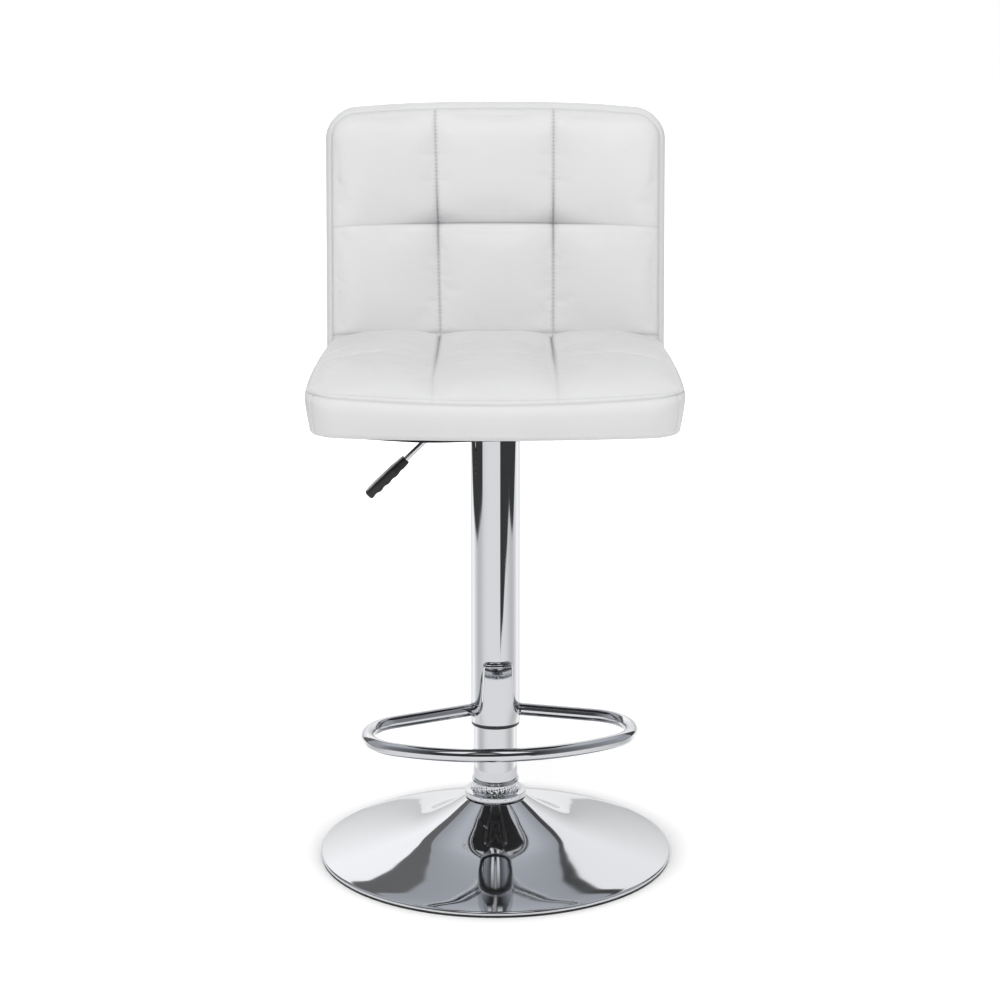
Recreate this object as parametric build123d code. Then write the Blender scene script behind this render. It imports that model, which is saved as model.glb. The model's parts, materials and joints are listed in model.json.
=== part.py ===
import math
import os

from build123d import *

# Adjustable bar stool: a trumpet foot, a telescopic gas-lift column, a hoop footrest, a release lever and
# a tufted seat with a low curved back. Millimetres; z = 0 is the floor, +Z is up, the sitter faces -Y.

# Clearances
slide_gap = 0.06  # radial, where one piece slides or turns in another
fit_gap = 0.1  # where pieces are pushed, bolted or welded together
soft_gap = 0.3  # between padding and what it lies against
touch = 0.01  # faces this close count as one height
cut_over = 1.0  # how far a cutting shape runs past the face it cuts

# Foot
base_r = 195.0
base_wall = 1.6
rim_h = 4.0  # upright edge of the foot
rim_round = 1.4
neck_r = 33.0  # the foot's radius at its top
neck_z = 67.0
neck_bend_r = 48.0
disc_t = 2.0
floor_ring_t = 2.5
floor_ring_w = 14.0
floor_ring_inset = 0.6  # from the foot's edge
hub_flange_r = 44.0
hub_flange_t = 4.0
hub_ledge_r = 18.0
bell_r = 34.0
bell_top_r = 26.0
bell_h = 20.7
bell_lip = 3.0
bell_low_step = 1.0  # from the lower lip in to the cove
bell_top_step = 0.6
bell_waist_r = 28.0  # middle of the cove
bell_waist_h = 8.3

# Column tubes
stand_r = 24.0
stand_wall = 2.0
stand_head = 22.0  # between the stand tube's top and the cover tube's cap
stand_foot_r = 22.6  # small end of the tapered foot
stand_foot_z = 12.0
stand_floor_t = 4.0
cover_r = 27.0
cover_wall = 1.5
cover_top_z = 477.0
bush_flange_t = 3.5
bush_flange_r = 26.4
bush_len = 42.0
sleeve_len = 110.0
sleeve_flange_t = 2.5
cap_depth = 15.0
cap_flange_t = 2.6
cap_recess = 6.0
cap_recess_gap = 0.4  # around the taper socket

# Gas lift
lift_travel = 210.0
rod_r = 5.0
rod_tail = 4.0  # below the stand tube's floor
groove_depth = 1.0
clip_r = 8.0
clip_t = 1.0
clip_mouth = 6.0
clip_gap = 0.4  # below the stand tube's floor
race_r = 10.2
race_t = 2.0
ball_r = 1.5
ball_count = 10
ball_pitch_r = 7.7
ball_gap = 0.04
cage_t = 1.2
bump_r = 9.5
bump_h = 10.0
bump_bevel = 1.0
bump_gap = 0.4  # below the gas cylinder
cylinder_r = 14.0
cylinder_wall = 2.5
cylinder_head = 46.0  # length of the closed valve end
seal_len = 20.0
seal_inset = 1.0
piston_h = 12.0
piston_spare = 3.0  # left above the seal at full lift
taper_len = 22.0
taper_drop = 0.8  # loss of radius over the taper
pin_r = 4.0
pin_len = 34.0
pin_proud = 4.6
pin_dome_r = 6.0

# Footrest, turned a little about the column
footrest_turn = 6.5  # degrees
collar_low_z = 154.0
collar_h = 22.0
collar_bulge = 3.2  # how far the tongue stands proud in front
tongue_top_z = 228.0
tongue_top_half = 16.0
tongue_root_half = 18.0
tongue_root_z = 182.0
tongue_waist = 2.0  # swell of the tongue's flanks below its root
tongue_skirt_h = 9.0  # full-width band at the collar's foot
tongue_corner_r = 6.0
tongue_bevel_h = 10.0
tongue_lip = 0.6  # thickness left at the tongue's top
hoop_r = 7.0
hoop_wall = 1.5
hoop_z = 167.0
hoop_reach = 160.0  # column's axis to the front of the hoop's centre line
hoop_half_w = 142.0
hoop_corner_r = 51.0
hoop_leg_slope = 21.5  # degrees, legs swept forwards
hoop_root_x = 16.2  # inner ends, inside the collar
hoop_shift = -4.5  # the hoop sits a little to one side of its collar

# Metalwork under the seat
tray_gap = 0.4  # above the tube's cap
tray_t = 2.5
tray_h = 32.0
tray_floor_x = 80.0
tray_floor_y = 70.0
tray_flare = 14.0  # each side, from the floor to the top
tray_corner_r = 8.0
flange_x = 150.0
flange_y = 130.0
flange_corner_r = 12.0
bolt_x = 62.0
bolt_y = 52.0
bolt_r = 3.0
bolt_head_r = 5.6
bolt_head_h = 4.0
nut_r = 4.5
nut_flange_r = 9.0
nut_flange_t = 1.2
socket_wall = 5.0
socket_len = 17.0
socket_drop = 1.0  # its top below the cylinder's
cylinder_proud = 12.0  # top of the cylinder above the tray's underside

# Release lever
lever_r = 3.0
lever_gap = 0.4  # above the valve pin at rest
lever_over = 5.0  # reach past the pin's axis
pivot_x = -25.0
pivot_r = 2.0
pivot_head_r = 3.2
pivot_head_t = 1.2
lever_hub_r = 5.2
lever_hub_w = 11.6
ear_gap = 0.4
ear_t = 2.0
ear_w = 12.0
lever_drop_angle = 44.0  # degrees, the outer arm below level
lever_knee_x = -43.8
lever_bend_r = 9.0
lever_arm = 73.5  # knee to the grip's near end
slot_half = 5.5
slot_low = 8.0  # above the tray's underside
slot_high = 26.0
grip_len = 58.0
grip_root_w = 9.6
grip_root_h = 10.0
grip_w = 13.6
grip_h = 12.4
grip_tip_w = 11.0
grip_tip_h = 10.8
grip_bore_depth = 34.0
grip_corner_r = 2.8
grip_round = 2.6
grip_swell_start = 17.4  # the full section, from the near end
grip_swell_end = 43.5
scallop_count = 4
scallop_r = 8.0
scallop_depth = 1.3
scallop_start = 12.8  # first groove from the near end
scallop_pitch = 12.0

# Seat
seat_w = 380.0
seat_front_y = -190.0
seat_bow = 17.0  # the front edge is this much further forward in its middle
seat_corner_r = 26.0
seat_draw = 2.5  # how far the sides draw in
seat_skirt = 6.0  # the padding hangs this far below the board
seat_edge_h = 41.0  # edge seam above the padding's underside
seat_crest_h = 60.0
seat_crown = 7.0  # swell of the middle panels
seat_shoulder = 11.5  # swell of the outer panels
seat_edge_rise = 1.0  # the edge seam lifts this much beside a crest
seat_cross_dip = 4.0  # the cross seam below the crests
seat_rear_dip = 5.0
seat_shoulder_dip = 5.0
seat_front_dip = 4.0  # the edge seam's drop along the front
seat_front_seam_dip = 1.0
seat_front_crown = 1.5
seat_front_shoulder = 2.5
seat_low_round = 11.0
seat_cross_y = 5.0  # the cross seam
seam_x = 63.0  # the lengthwise seams of seat and back
board_t = 12.0
board_inset = 24.0
dust_inset = 16.0
dust_t = 0.8
dust_window = 2.0  # open border around the tray's flange

# Back, built upright about the point where it meets the seat, then leaned
back_side_step = 0.5  # the back is this much narrower than the seat, each side
back_y = 163.0
back_rise = 59.0  # that point above the padding's underside
back_lean = 8.5  # degrees
back_plan_r = 712.0  # hollow curve seen from above
back_low = -44.0
back_foot_seam = -4.0
back_mid_seam = 124.5
back_top = 256.0
back_arch = 5.0  # rise of the top edge in its middle
back_corner_r = 24.0
back_low_corner_r = 6.0
back_draw = 2.0
back_crown = 12.0
back_seam_crown = 1.5  # swell left along the cross seams
back_edge_drop = 9.0  # the front's edge seam behind the hollow face
back_crest_edge_drop = 8.0
back_top_edge_drop = 13.0
back_foot_seam_depth = 4.0  # lengthwise seams behind the hollow face
back_mid_seam_depth = 5.0
back_crest_seam_depth = 1.5
back_top_seam_depth = 6.0
back_top_crown = 0.5
back_pad_t = 26.0
back_board_t = 9.0
back_board_inset = 15.0
back_board_corner_r = 14.0
back_panel_t = 11.0
back_panel_inset = 1.0
back_panel_round = 4.5
bracket_x = 95.0
bracket_w = 30.0
bracket_t = 4.0
bracket_leg = 112.0  # under the seat board
bracket_up = 190.0  # height above the seat board's underside
bracket_bend_r = 4.0
screw_r = 2.0
screw_head_r = 4.0
screw_head_h = 2.0
screw_bite = 6.5  # into the board
screw_end = 14.0  # first screw from the bracket's end
screw_pitch = 30.0

# Heights and radii that follow
upright = (Align.CENTER, Align.CENTER, Align.MIN)
rim_top_z = floor_ring_t + rim_h
neck_bend_slope = 2 * math.atan((neck_z - neck_bend_r - rim_top_z) / (base_r - neck_r - neck_bend_r))
disc_top_z = floor_ring_t + disc_t
stand_floor_top_z = stand_foot_z + stand_floor_t
bore_r = cover_r - cover_wall
race_low_z = stand_floor_top_z
ball_z = race_low_z + race_t + ball_gap + ball_r
race_high_z = ball_z + ball_r + ball_gap
bump_z = race_high_z + race_t
cylinder_low_z = bump_z + bump_h + bump_gap
cylinder_bore_r = cylinder_r - cylinder_wall
piston_z = cylinder_low_z + lift_travel + seal_inset + seal_len + piston_spare
collar_top_z = collar_low_z + collar_h
cap_top_z = cover_top_z + cap_flange_t
stand_top_z = cover_top_z - cap_depth - stand_head
tray_low_z = cap_top_z + tray_gap
cylinder_top_z = tray_low_z + cylinder_proud
socket_low_z = cylinder_top_z - socket_drop - socket_len
socket_r = cylinder_r + socket_wall
board_low_z = tray_low_z + tray_h
board_top_z = board_low_z + board_t
flange_low_z = board_low_z - tray_t
lever_z = cylinder_top_z + pin_proud + lever_gap + lever_r
seat_low_z = board_low_z - seat_skirt
back_z = seat_low_z + back_rise
back_w = seat_w - 2 * back_side_step
back_board_front_r = back_plan_r + back_pad_t + soft_gap
back_board_rear_r = back_board_front_r + back_board_t
back_panel_front_r = back_board_rear_r + soft_gap
back_pose = Pos(0, back_y, back_z) * Rot(-back_lean, 0, 0)
column_turn = Rot(0, 0, footrest_turn)


def disc(radius, low, high):
    return Pos(0, 0, low) * Cylinder(radius, high - low, align=upright)


def ring(inner_r, outer_r, low, high):
    return disc(outer_r, low, high) - disc(inner_r, low, high)


def turned(edges):
    """Solid of revolution about the column's axis, from (radius, height) edges."""
    return revolve(Plane.XZ * make_face(edges), Axis.Z)


def turned_through(*points):
    return turned(Polyline(*points, close=True))


def arc_about(centre, start, end):
    """The short arc about a centre, from one point to another."""
    centre, start, end = Vector(*centre), Vector(*start), Vector(*end)
    outward = ((start + end) * 0.5 - centre).normalized()
    return ThreePointArc(start, centre + outward * (start - centre).length, end)


def foot_cone_r(z):
    """Radius of the stand tube's tapered foot."""
    share = (z - stand_foot_z) / (neck_z - stand_foot_z)
    return stand_foot_r + (stand_r - stand_foot_r) * share


def taper_r(z):
    """Radius of the gas cylinder's tapered head."""
    share = (z - cylinder_top_z + taper_len) / taper_len
    return cylinder_r - taper_drop * max(share, 0.0)


# Foot


def base_shell():
    """Spun foot: the neck's bend runs into a wide sweep that ends level at the rim."""
    up = Vector(math.sin(neck_bend_slope), math.cos(neck_bend_slope))
    bend_centre = Vector(neck_r + neck_bend_r, neck_z)
    meet = bend_centre - up * neck_bend_r
    chord = Vector(base_r, rim_top_z) - meet
    sweep_r = chord.dot(chord) / (2 * chord.dot(up))
    sweep_centre = meet + up * sweep_r
    inner_r = base_r - base_wall
    inner_meet = meet - up * base_wall
    inner_rise = math.sqrt((sweep_r + base_wall) ** 2 - (inner_r - sweep_centre.X) ** 2)
    inner_rim = (inner_r, sweep_centre.Y - inner_rise)
    shell = turned(
        [
            arc_about(bend_centre, (neck_r, neck_z), meet),
            arc_about(sweep_centre, meet, (base_r, rim_top_z)),
            Line((base_r, rim_top_z), (base_r, floor_ring_t)),
            Line((base_r, floor_ring_t), (inner_r, floor_ring_t)),
            Line((inner_r, floor_ring_t), inner_rim),
            arc_about(sweep_centre, inner_rim, inner_meet),
            arc_about(bend_centre, inner_meet, (neck_r - base_wall, neck_z)),
            Line((neck_r - base_wall, neck_z), (neck_r, neck_z)),
        ]
    )
    rim_edge = shell.edges().filter_by_position(Axis.Z, rim_top_z - touch, rim_top_z + touch)
    return fillet(rim_edge, rim_round)


def base_disc():
    return disc(base_r - base_wall - fit_gap, floor_ring_t, disc_top_z)


def floor_ring():
    outer_r = base_r - floor_ring_inset
    return ring(outer_r - floor_ring_w, outer_r, 0, floor_ring_t)


def hub_socket():
    hub_r = neck_r - base_wall - fit_gap
    hub_top = neck_z - base_wall
    ledge_z = stand_foot_z - fit_gap
    return turned_through(
        (hub_ledge_r, disc_top_z),
        (hub_flange_r, disc_top_z),
        (hub_flange_r, disc_top_z + hub_flange_t),
        (hub_r, disc_top_z + hub_flange_t),
        (hub_r, hub_top),
        (foot_cone_r(hub_top) + fit_gap, hub_top),
        (foot_cone_r(ledge_z) + fit_gap, ledge_z),
        (hub_ledge_r, ledge_z),
    )


def neck_bell():
    bore = stand_r + fit_gap
    top = neck_z + bell_h
    cove_low = (bell_r - bell_low_step, neck_z + bell_lip)
    cove_high = (bell_top_r - bell_top_step, top - bell_lip)
    cove_mid = (bell_waist_r, neck_z + bell_waist_h)
    return turned(
        [
            Line((bore, neck_z), (bell_r, neck_z)),
            Line((bell_r, neck_z), (bell_r, neck_z + bell_lip)),
            Line((bell_r, neck_z + bell_lip), cove_low),
            ThreePointArc(cove_low, cove_mid, cove_high),
            Line(cove_high, (bell_top_r, top - bell_lip)),
            Line((bell_top_r, top - bell_lip), (bell_top_r, top)),
            Line((bell_top_r, top), (bore, top)),
            Line((bore, top), (bore, neck_z)),
        ]
    )


def stand_tube():
    inner_r = stand_r - stand_wall
    rod_hole_r = rod_r + slide_gap
    return turned_through(
        (rod_hole_r, stand_foot_z),
        (stand_foot_r, stand_foot_z),
        (stand_r, neck_z),
        (stand_r, stand_top_z),
        (inner_r, stand_top_z),
        (inner_r, neck_z),
        (foot_cone_r(stand_floor_top_z) - stand_wall, stand_floor_top_z),
        (rod_hole_r, stand_floor_top_z),
    )


def guide_sleeve():
    bore = cylinder_r + slide_gap
    body = ring(bore, stand_r - stand_wall - fit_gap, stand_top_z - sleeve_len, stand_top_z)
    return body + ring(bore, stand_r - fit_gap, stand_top_z, stand_top_z + sleeve_flange_t)


# Thrust bearing and gas lift


def lower_race():
    return ring(rod_r + 2 * fit_gap, race_r, race_low_z, race_low_z + race_t)


def upper_race():
    return ring(rod_r + fit_gap, race_r, race_high_z, race_high_z + race_t)


def bearing_balls():
    return [loc * Sphere(ball_r) for loc in Pos(0, 0, ball_z) * PolarLocations(ball_pitch_r, ball_count)]


def ball_cage():
    cage = ring(rod_r + 2 * fit_gap, race_r, ball_z - cage_t / 2, ball_z + cage_t / 2)
    pocket = Cylinder(ball_r + slide_gap, 2 * cage_t)
    return cage - [loc * pocket for loc in Pos(0, 0, ball_z) * PolarLocations(ball_pitch_r, ball_count)]


def clip_low_z():
    return stand_foot_z - clip_gap - clip_t


def piston_rod():
    rod = disc(rod_r, stand_foot_z - rod_tail, piston_z)
    low = clip_low_z() - fit_gap
    return rod - ring(rod_r - groove_depth, rod_r + groove_depth, low, low + clip_t + 2 * fit_gap)


def rod_clip():
    clip = ring(rod_r - groove_depth + fit_gap, clip_r, clip_low_z(), clip_low_z() + clip_t)
    mouth = Box(2 * clip_r, clip_mouth, 4 * clip_t, align=(Align.MIN, Align.CENTER, Align.CENTER))
    return clip - Pos(0, 0, clip_low_z()) * mouth


def bump_stop():
    stop = ring(rod_r + fit_gap, bump_r, bump_z, bump_z + bump_h)
    return chamfer(stop.edges().group_by(Axis.Z)[-1], bump_bevel)


def gas_piston():
    return disc(cylinder_bore_r - slide_gap, piston_z, piston_z + piston_h)


def gas_cylinder():
    head_z = cylinder_top_z - cylinder_head
    pin_bore_r = pin_r + slide_gap
    return turned_through(
        (cylinder_bore_r, cylinder_low_z),
        (cylinder_r, cylinder_low_z),
        (cylinder_r, cylinder_top_z - taper_len),
        (taper_r(cylinder_top_z), cylinder_top_z),
        (pin_bore_r, cylinder_top_z),
        (pin_bore_r, head_z),
        (cylinder_bore_r, head_z),
    )


def rod_seal():
    low = cylinder_low_z + seal_inset
    return ring(rod_r + slide_gap, cylinder_bore_r - fit_gap, low, low + seal_len)


def release_pin():
    top = cylinder_top_z + pin_proud
    pin = disc(pin_r, top - pin_len, top)
    return pin & Pos(0, 0, top - pin_dome_r) * (Sphere(pin_dome_r) + disc(pin_dome_r, -pin_len, 0))


# Sliding column


def cover_tube():
    return ring(bore_r, cover_r, collar_top_z, cover_top_z)


def tube_cap():
    bore = cylinder_r + fit_gap
    recess_r = socket_r + cap_recess_gap
    return turned_through(
        (bore, cover_top_z - cap_depth),
        (bore_r - fit_gap, cover_top_z - cap_depth),
        (bore_r - fit_gap, cover_top_z),
        (cover_r, cover_top_z),
        (cover_r, cap_top_z),
        (recess_r, cap_top_z),
        (recess_r, cap_top_z - cap_recess),
        (bore, cap_top_z - cap_recess),
    )


def glide_bush():
    bore = stand_r + slide_gap
    flange = ring(bore, bush_flange_r, collar_low_z - bush_flange_t, collar_low_z)
    return flange + ring(bore, bore_r - fit_gap, collar_low_z, collar_low_z + bush_len)


def footrest_collar():
    skirt_z = collar_low_z + tongue_skirt_h
    tongue = [
        Polyline(
            (cover_r + collar_bulge, skirt_z),
            (cover_r + collar_bulge, collar_low_z),
            (-cover_r - collar_bulge, collar_low_z),
            (-cover_r - collar_bulge, skirt_z),
        ),
        Line((-tongue_root_half, tongue_root_z), (-tongue_top_half, tongue_top_z)),
        Line((-tongue_top_half, tongue_top_z), (tongue_top_half, tongue_top_z)),
        Line((tongue_top_half, tongue_top_z), (tongue_root_half, tongue_root_z)),
    ]
    for side in (-1, 1):
        foot = (side * (cover_r + collar_bulge), skirt_z)
        root = (side * tongue_root_half, tongue_root_z)
        waist = (side * (tongue_root_half + tongue_waist), (skirt_z + tongue_root_z) / 2)
        tongue.append(ThreePointArc(foot, waist, root))
    outline = make_face(tongue)
    outline = fillet(outline.vertices().group_by(Axis.Y)[-1], tongue_corner_r)
    front = extrude(Plane.XZ * outline, 2 * cover_r)
    crescent = Pos(0, -collar_bulge, 0) * disc(cover_r + fit_gap, collar_low_z, tongue_top_z)
    proud_r = cover_r + collar_bulge + fit_gap
    bevelled = turned_through(
        (0, collar_low_z),
        (proud_r, collar_low_z),
        (proud_r, tongue_top_z - tongue_bevel_h),
        (cover_r + tongue_lip, tongue_top_z),
        (0, tongue_top_z),
    )
    tongue_body = (crescent & front & bevelled) - disc(cover_r + fit_gap / 2, 0, cover_top_z)
    return column_turn * (tongue_body + ring(bore_r, cover_r + fit_gap, collar_low_z, collar_top_z))


def hoop_path():
    """Centre line of the footrest: leg, corner, front, corner and leg, each tangent to the next."""
    slope = math.radians(hoop_leg_slope)
    corner_x = hoop_half_w - hoop_corner_r
    leg = (corner_x - hoop_root_x + math.sin(slope) * hoop_corner_r) / math.cos(slope)
    corner_y = -math.cos(slope) * hoop_corner_r - math.sin(slope) * leg
    depth = corner_y + hoop_reach
    front_r = (corner_x**2 + depth**2 - hoop_corner_r**2) / (2 * (depth - hoop_corner_r))
    front_centre = Vector(0, front_r - hoop_reach)
    corner = Vector(corner_x, corner_y)
    leg_end = corner + Vector(math.sin(slope), math.cos(slope)) * hoop_corner_r
    meet = corner + (corner - front_centre).normalized() * hoop_corner_r
    edges = []
    for side in (-1, 1):
        flip = lambda p: Vector(side * p.X, p.Y)
        edges.append(Line((side * hoop_root_x, 0), flip(leg_end)))
        edges.append(arc_about(flip(corner), flip(leg_end), flip(meet)))
    edges.append(ThreePointArc(meet, (0, -hoop_reach), (-meet.X, meet.Y)))
    return Wire(edges)


def footrest_hoop():
    path = hoop_path()
    start = Plane(origin=path @ 0, z_dir=path % 0)
    bar = sweep(start * Circle(hoop_r), path) - sweep(start * Circle(hoop_r - hoop_wall), path)
    collar = disc(cover_r + 2 * fit_gap, 0, cover_top_z)
    return column_turn * (Pos(hoop_shift, 0, hoop_z) * bar - collar - Pos(0, -collar_bulge, 0) * collar)


# Metalwork under the seat


def tray_loft(shrink, low, high):
    floor = Pos(0, 0, low) * RectangleRounded(
        tray_floor_x - 2 * shrink, tray_floor_y - 2 * shrink, tray_corner_r - shrink / 2
    )
    top = Pos(0, 0, high) * RectangleRounded(
        tray_floor_x + 2 * (tray_flare - shrink),
        tray_floor_y + 2 * (tray_flare - shrink),
        tray_corner_r - shrink / 2,
    )
    return loft([floor, top])


def seat_plate():
    flange = extrude(RectangleRounded(flange_x, flange_y, flange_corner_r), tray_t)
    tray = tray_loft(0, tray_low_z, board_low_z) + Pos(0, 0, flange_low_z) * flange
    tray -= tray_loft(tray_t, tray_low_z + tray_t, board_low_z + tray_t)
    tray -= disc(socket_r + fit_gap, tray_low_z - tray_t, tray_low_z + 2 * tray_t)
    bolt_hole = disc(bolt_r + fit_gap, flange_low_z - cut_over, board_low_z + cut_over)
    tray -= [loc * bolt_hole for loc in bolt_places()]
    slot = Box(
        tray_flare + tray_floor_x / 2,
        2 * slot_half,
        slot_high - slot_low,
        align=(Align.MAX, Align.CENTER, Align.MIN),
    )
    return tray - Pos(pivot_x - ear_w / 2, 0, tray_low_z + slot_low) * slot


def bolt_places():
    return GridLocations(2 * bolt_x, 2 * bolt_y, 2, 2)


def plate_bolts():
    head = extrude(RegularPolygon(bolt_head_r, 6), bolt_head_h)
    bolt = Pos(0, 0, flange_low_z - bolt_head_h) * head
    bolt += disc(bolt_r, flange_low_z, board_top_z - nut_flange_t)
    return [loc * bolt for loc in bolt_places()]


def tee_nuts():
    bore = bolt_r + fit_gap
    nut = ring(bore, nut_r, board_low_z + fit_gap, board_top_z - nut_flange_t)
    nut += ring(bore, nut_flange_r, board_top_z - nut_flange_t, board_top_z)
    return [loc * nut for loc in bolt_places()]


def taper_socket():
    top = socket_low_z + socket_len
    return turned_through(
        (taper_r(socket_low_z) + fit_gap, socket_low_z),
        (socket_r, socket_low_z),
        (socket_r, top),
        (taper_r(top) + fit_gap, top),
    )


def lever_bracket():
    floor_z = tray_low_z + tray_t
    ear_y = lever_hub_w / 2 + ear_gap
    width = 2 * (ear_y + ear_t)
    rise = lever_z - floor_z
    foot = Pos(pivot_x, 0, floor_z) * Box(ear_w, width, ear_t, align=upright)
    ear = Pos(pivot_x, 0, floor_z) * Box(ear_w, width, rise, align=upright)
    ear += Pos(pivot_x, 0, lever_z) * Rot(90, 0, 0) * Cylinder(ear_w / 2, width)
    ear -= Pos(pivot_x, 0, floor_z) * Box(2 * ear_w, 2 * ear_y, 2 * rise, align=upright)
    hole = Pos(pivot_x, 0, lever_z) * Rot(90, 0, 0) * Cylinder(pivot_r + fit_gap / 2, 2 * width)
    return foot + ear - hole


def lever_pin():
    outer_y = lever_hub_w / 2 + ear_gap + ear_t
    pin = Cylinder(pivot_r, 2 * outer_y)
    for side in (-1, 1):
        pin += Pos(0, 0, side * (outer_y + pivot_head_t / 2)) * Cylinder(pivot_head_r, pivot_head_t)
    return Pos(pivot_x, 0, lever_z) * Rot(90, 0, 0) * pin


# Release lever


def lever_line():
    """Unit vector down the lever's outer arm."""
    angle = math.radians(lever_drop_angle)
    return Vector(-math.cos(angle), 0, -math.sin(angle))


def grip_plane():
    knee = Vector(lever_knee_x, 0, lever_z)
    return Plane(origin=knee + lever_line() * lever_arm, x_dir=(0, 1, 0), z_dir=lever_line())


def lever_rod():
    inner_end = Vector(lever_over, 0, lever_z)
    outer_end = grip_plane().origin + lever_line() * (grip_bore_depth - fit_gap)
    path = FilletPolyline(inner_end, (lever_knee_x, 0, lever_z), outer_end, radius=lever_bend_r)
    rod = sweep(Plane(origin=path @ 0, z_dir=path % 0) * Circle(lever_r), path)
    hub_axis = Pos(pivot_x, 0, lever_z) * Rot(90, 0, 0)
    hub = hub_axis * Cylinder(lever_hub_r, lever_hub_w)
    return rod + hub - hub_axis * Cylinder(pivot_r + slide_gap, 2 * lever_hub_w)


def lever_grip():
    stations = [
        (0, grip_root_w, grip_root_h),
        (grip_swell_start, grip_w, grip_h),
        (grip_swell_end, grip_w, grip_h),
        (grip_len, grip_tip_w, grip_tip_h),
    ]
    sections = [
        Pos(0, 0, along) * RectangleRounded(width, height, grip_corner_r) for along, width, height in stations
    ]
    body = loft(sections)
    body = fillet(body.edges().group_by(Axis.Z)[-1], grip_round)
    below = grip_h / 2 + scallop_r - scallop_depth
    for i in range(scallop_count):
        along = scallop_start + i * scallop_pitch
        body -= Pos(0, below, along) * Rot(0, 90, 0) * Cylinder(scallop_r, 2 * grip_w)
    bore = Cylinder(lever_r + slide_gap, grip_bore_depth, align=upright)
    return grip_plane() * (body - bore)


# Seat


def seat_outline(inset):
    half = seat_w / 2 - inset
    front = seat_front_y + inset
    corner = front + seat_bow
    rear = back_y + back_pad_t
    middle = (corner + rear) / 2
    outline = make_face(
        [
            ThreePointArc((-half, corner), (0, front), (half, corner)),
            ThreePointArc((half, corner), (half - seat_draw, middle), (half, rear)),
            Line((half, rear), (-half, rear)),
            ThreePointArc((-half, rear), (-half + seat_draw, middle), (-half, corner)),
        ]
    )
    return fillet(outline.vertices().group_by(Axis.Y)[0], seat_corner_r - inset / 2)


def before_back(gap):
    """All that lies in front of the back's curved and leaning face, by a gap."""
    return back_pose * Pos(0, -back_plan_r, 0) * Cylinder(back_plan_r - gap, 2 * back_plan_r)


def seat_section(y, edge, seam, crown, shoulder):
    """Slice across the seat: three arcs that meet at the lengthwise seams."""
    half = seat_w / 2 + cut_over
    edge_z, seam_z = seat_low_z + edge, seat_low_z + seam
    outer_mid = ((half + seam_x) / 2, (edge_z + seam_z) / 2 + shoulder)
    face = make_face(
        [
            Line((-half, seat_low_z), (-half, edge_z)),
            ThreePointArc((-half, edge_z), (-outer_mid[0], outer_mid[1]), (-seam_x, seam_z)),
            ThreePointArc((-seam_x, seam_z), (0, seam_z + crown), (seam_x, seam_z)),
            ThreePointArc((seam_x, seam_z), outer_mid, (half, edge_z)),
            Line((half, edge_z), (half, seat_low_z)),
            Line((half, seat_low_z), (-half, seat_low_z)),
        ]
    )
    return Plane.XZ.offset(-y) * face


def seat_cushion():
    seam = seat_crest_h - seat_crown
    low_crown, low_shoulder = seat_crown - seat_cross_dip, seat_shoulder - seat_shoulder_dip
    front_y = seat_front_y - cut_over
    rear_y = back_y + back_pad_t
    front = seat_section(
        front_y,
        seat_edge_h - seat_front_dip,
        seat_edge_h - seat_front_seam_dip,
        seat_front_crown,
        seat_front_shoulder,
    )
    cross = seat_section(seat_cross_y, seat_edge_h, seam - seat_cross_dip, low_crown, low_shoulder)
    rear = seat_section(rear_y, seat_edge_h, seam - seat_rear_dip, low_crown, low_shoulder)
    crests = [
        seat_section(middle, seat_edge_h + seat_edge_rise, seam, seat_crown, seat_shoulder)
        for middle in ((front_y + seat_cross_y) / 2, (seat_cross_y + rear_y) / 2)
    ]
    front_row = loft([front, crests[0], cross])
    rear_row = loft([cross, crests[1], rear])
    sides = Pos(0, 0, seat_low_z) * extrude(seat_outline(0), 2 * seat_crest_h)
    sides = fillet(sides.edges().group_by(Axis.Z)[0], seat_low_round)
    pad = (front_row + rear_row) & sides & before_back(back_seam_crown + soft_gap)
    pad -= seat_board_blank(soft_gap, seat_low_z - dust_t, board_top_z + soft_gap)
    return pad - [bracket_shape(side, soft_gap) for side in (-1, 1)]


def seat_board_blank(grow, low, high):
    """Plan of the seat board, grown by a clearance, between two heights."""
    blank = Pos(0, 0, low) * extrude(seat_outline(board_inset - grow), high - low)
    return blank & before_back(board_inset - grow)


def seat_board():
    board = seat_board_blank(0, board_low_z, board_top_z)
    for loc in bolt_places():
        board -= loc * disc(nut_r + fit_gap, board_low_z - cut_over, board_top_z)
        board -= loc * disc(nut_flange_r + fit_gap, board_top_z - nut_flange_t, board_top_z + cut_over)
    return board - [place * screw(fit_gap / 2) for place in seat_screw_places()]


def dust_cover():
    sheet = Pos(0, 0, seat_low_z - dust_t) * extrude(seat_outline(dust_inset), dust_t)
    sheet &= before_back(dust_inset)
    window = RectangleRounded(flange_x + 2 * dust_window, flange_y + 2 * dust_window, flange_corner_r)
    return sheet - Pos(0, 0, seat_low_z - 2 * dust_t) * extrude(window, 4 * dust_t)


# Back


def curve_y(x, radius):
    """Depth of a curve concentric with the back's hollow face."""
    return math.sqrt(radius**2 - x**2) - back_plan_r


def curved_slab(front_r, rear_r, half, low, high):
    """Upright slab between two of the back's concentric curves."""
    slab = Cylinder(rear_r, high - low, align=upright) - Cylinder(front_r, high - low, align=upright)
    block = Pos(0, back_plan_r, 0) * Box(2 * half, back_plan_r, high - low, align=upright)
    return Pos(0, -back_plan_r, low) * (slab & block)


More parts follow.
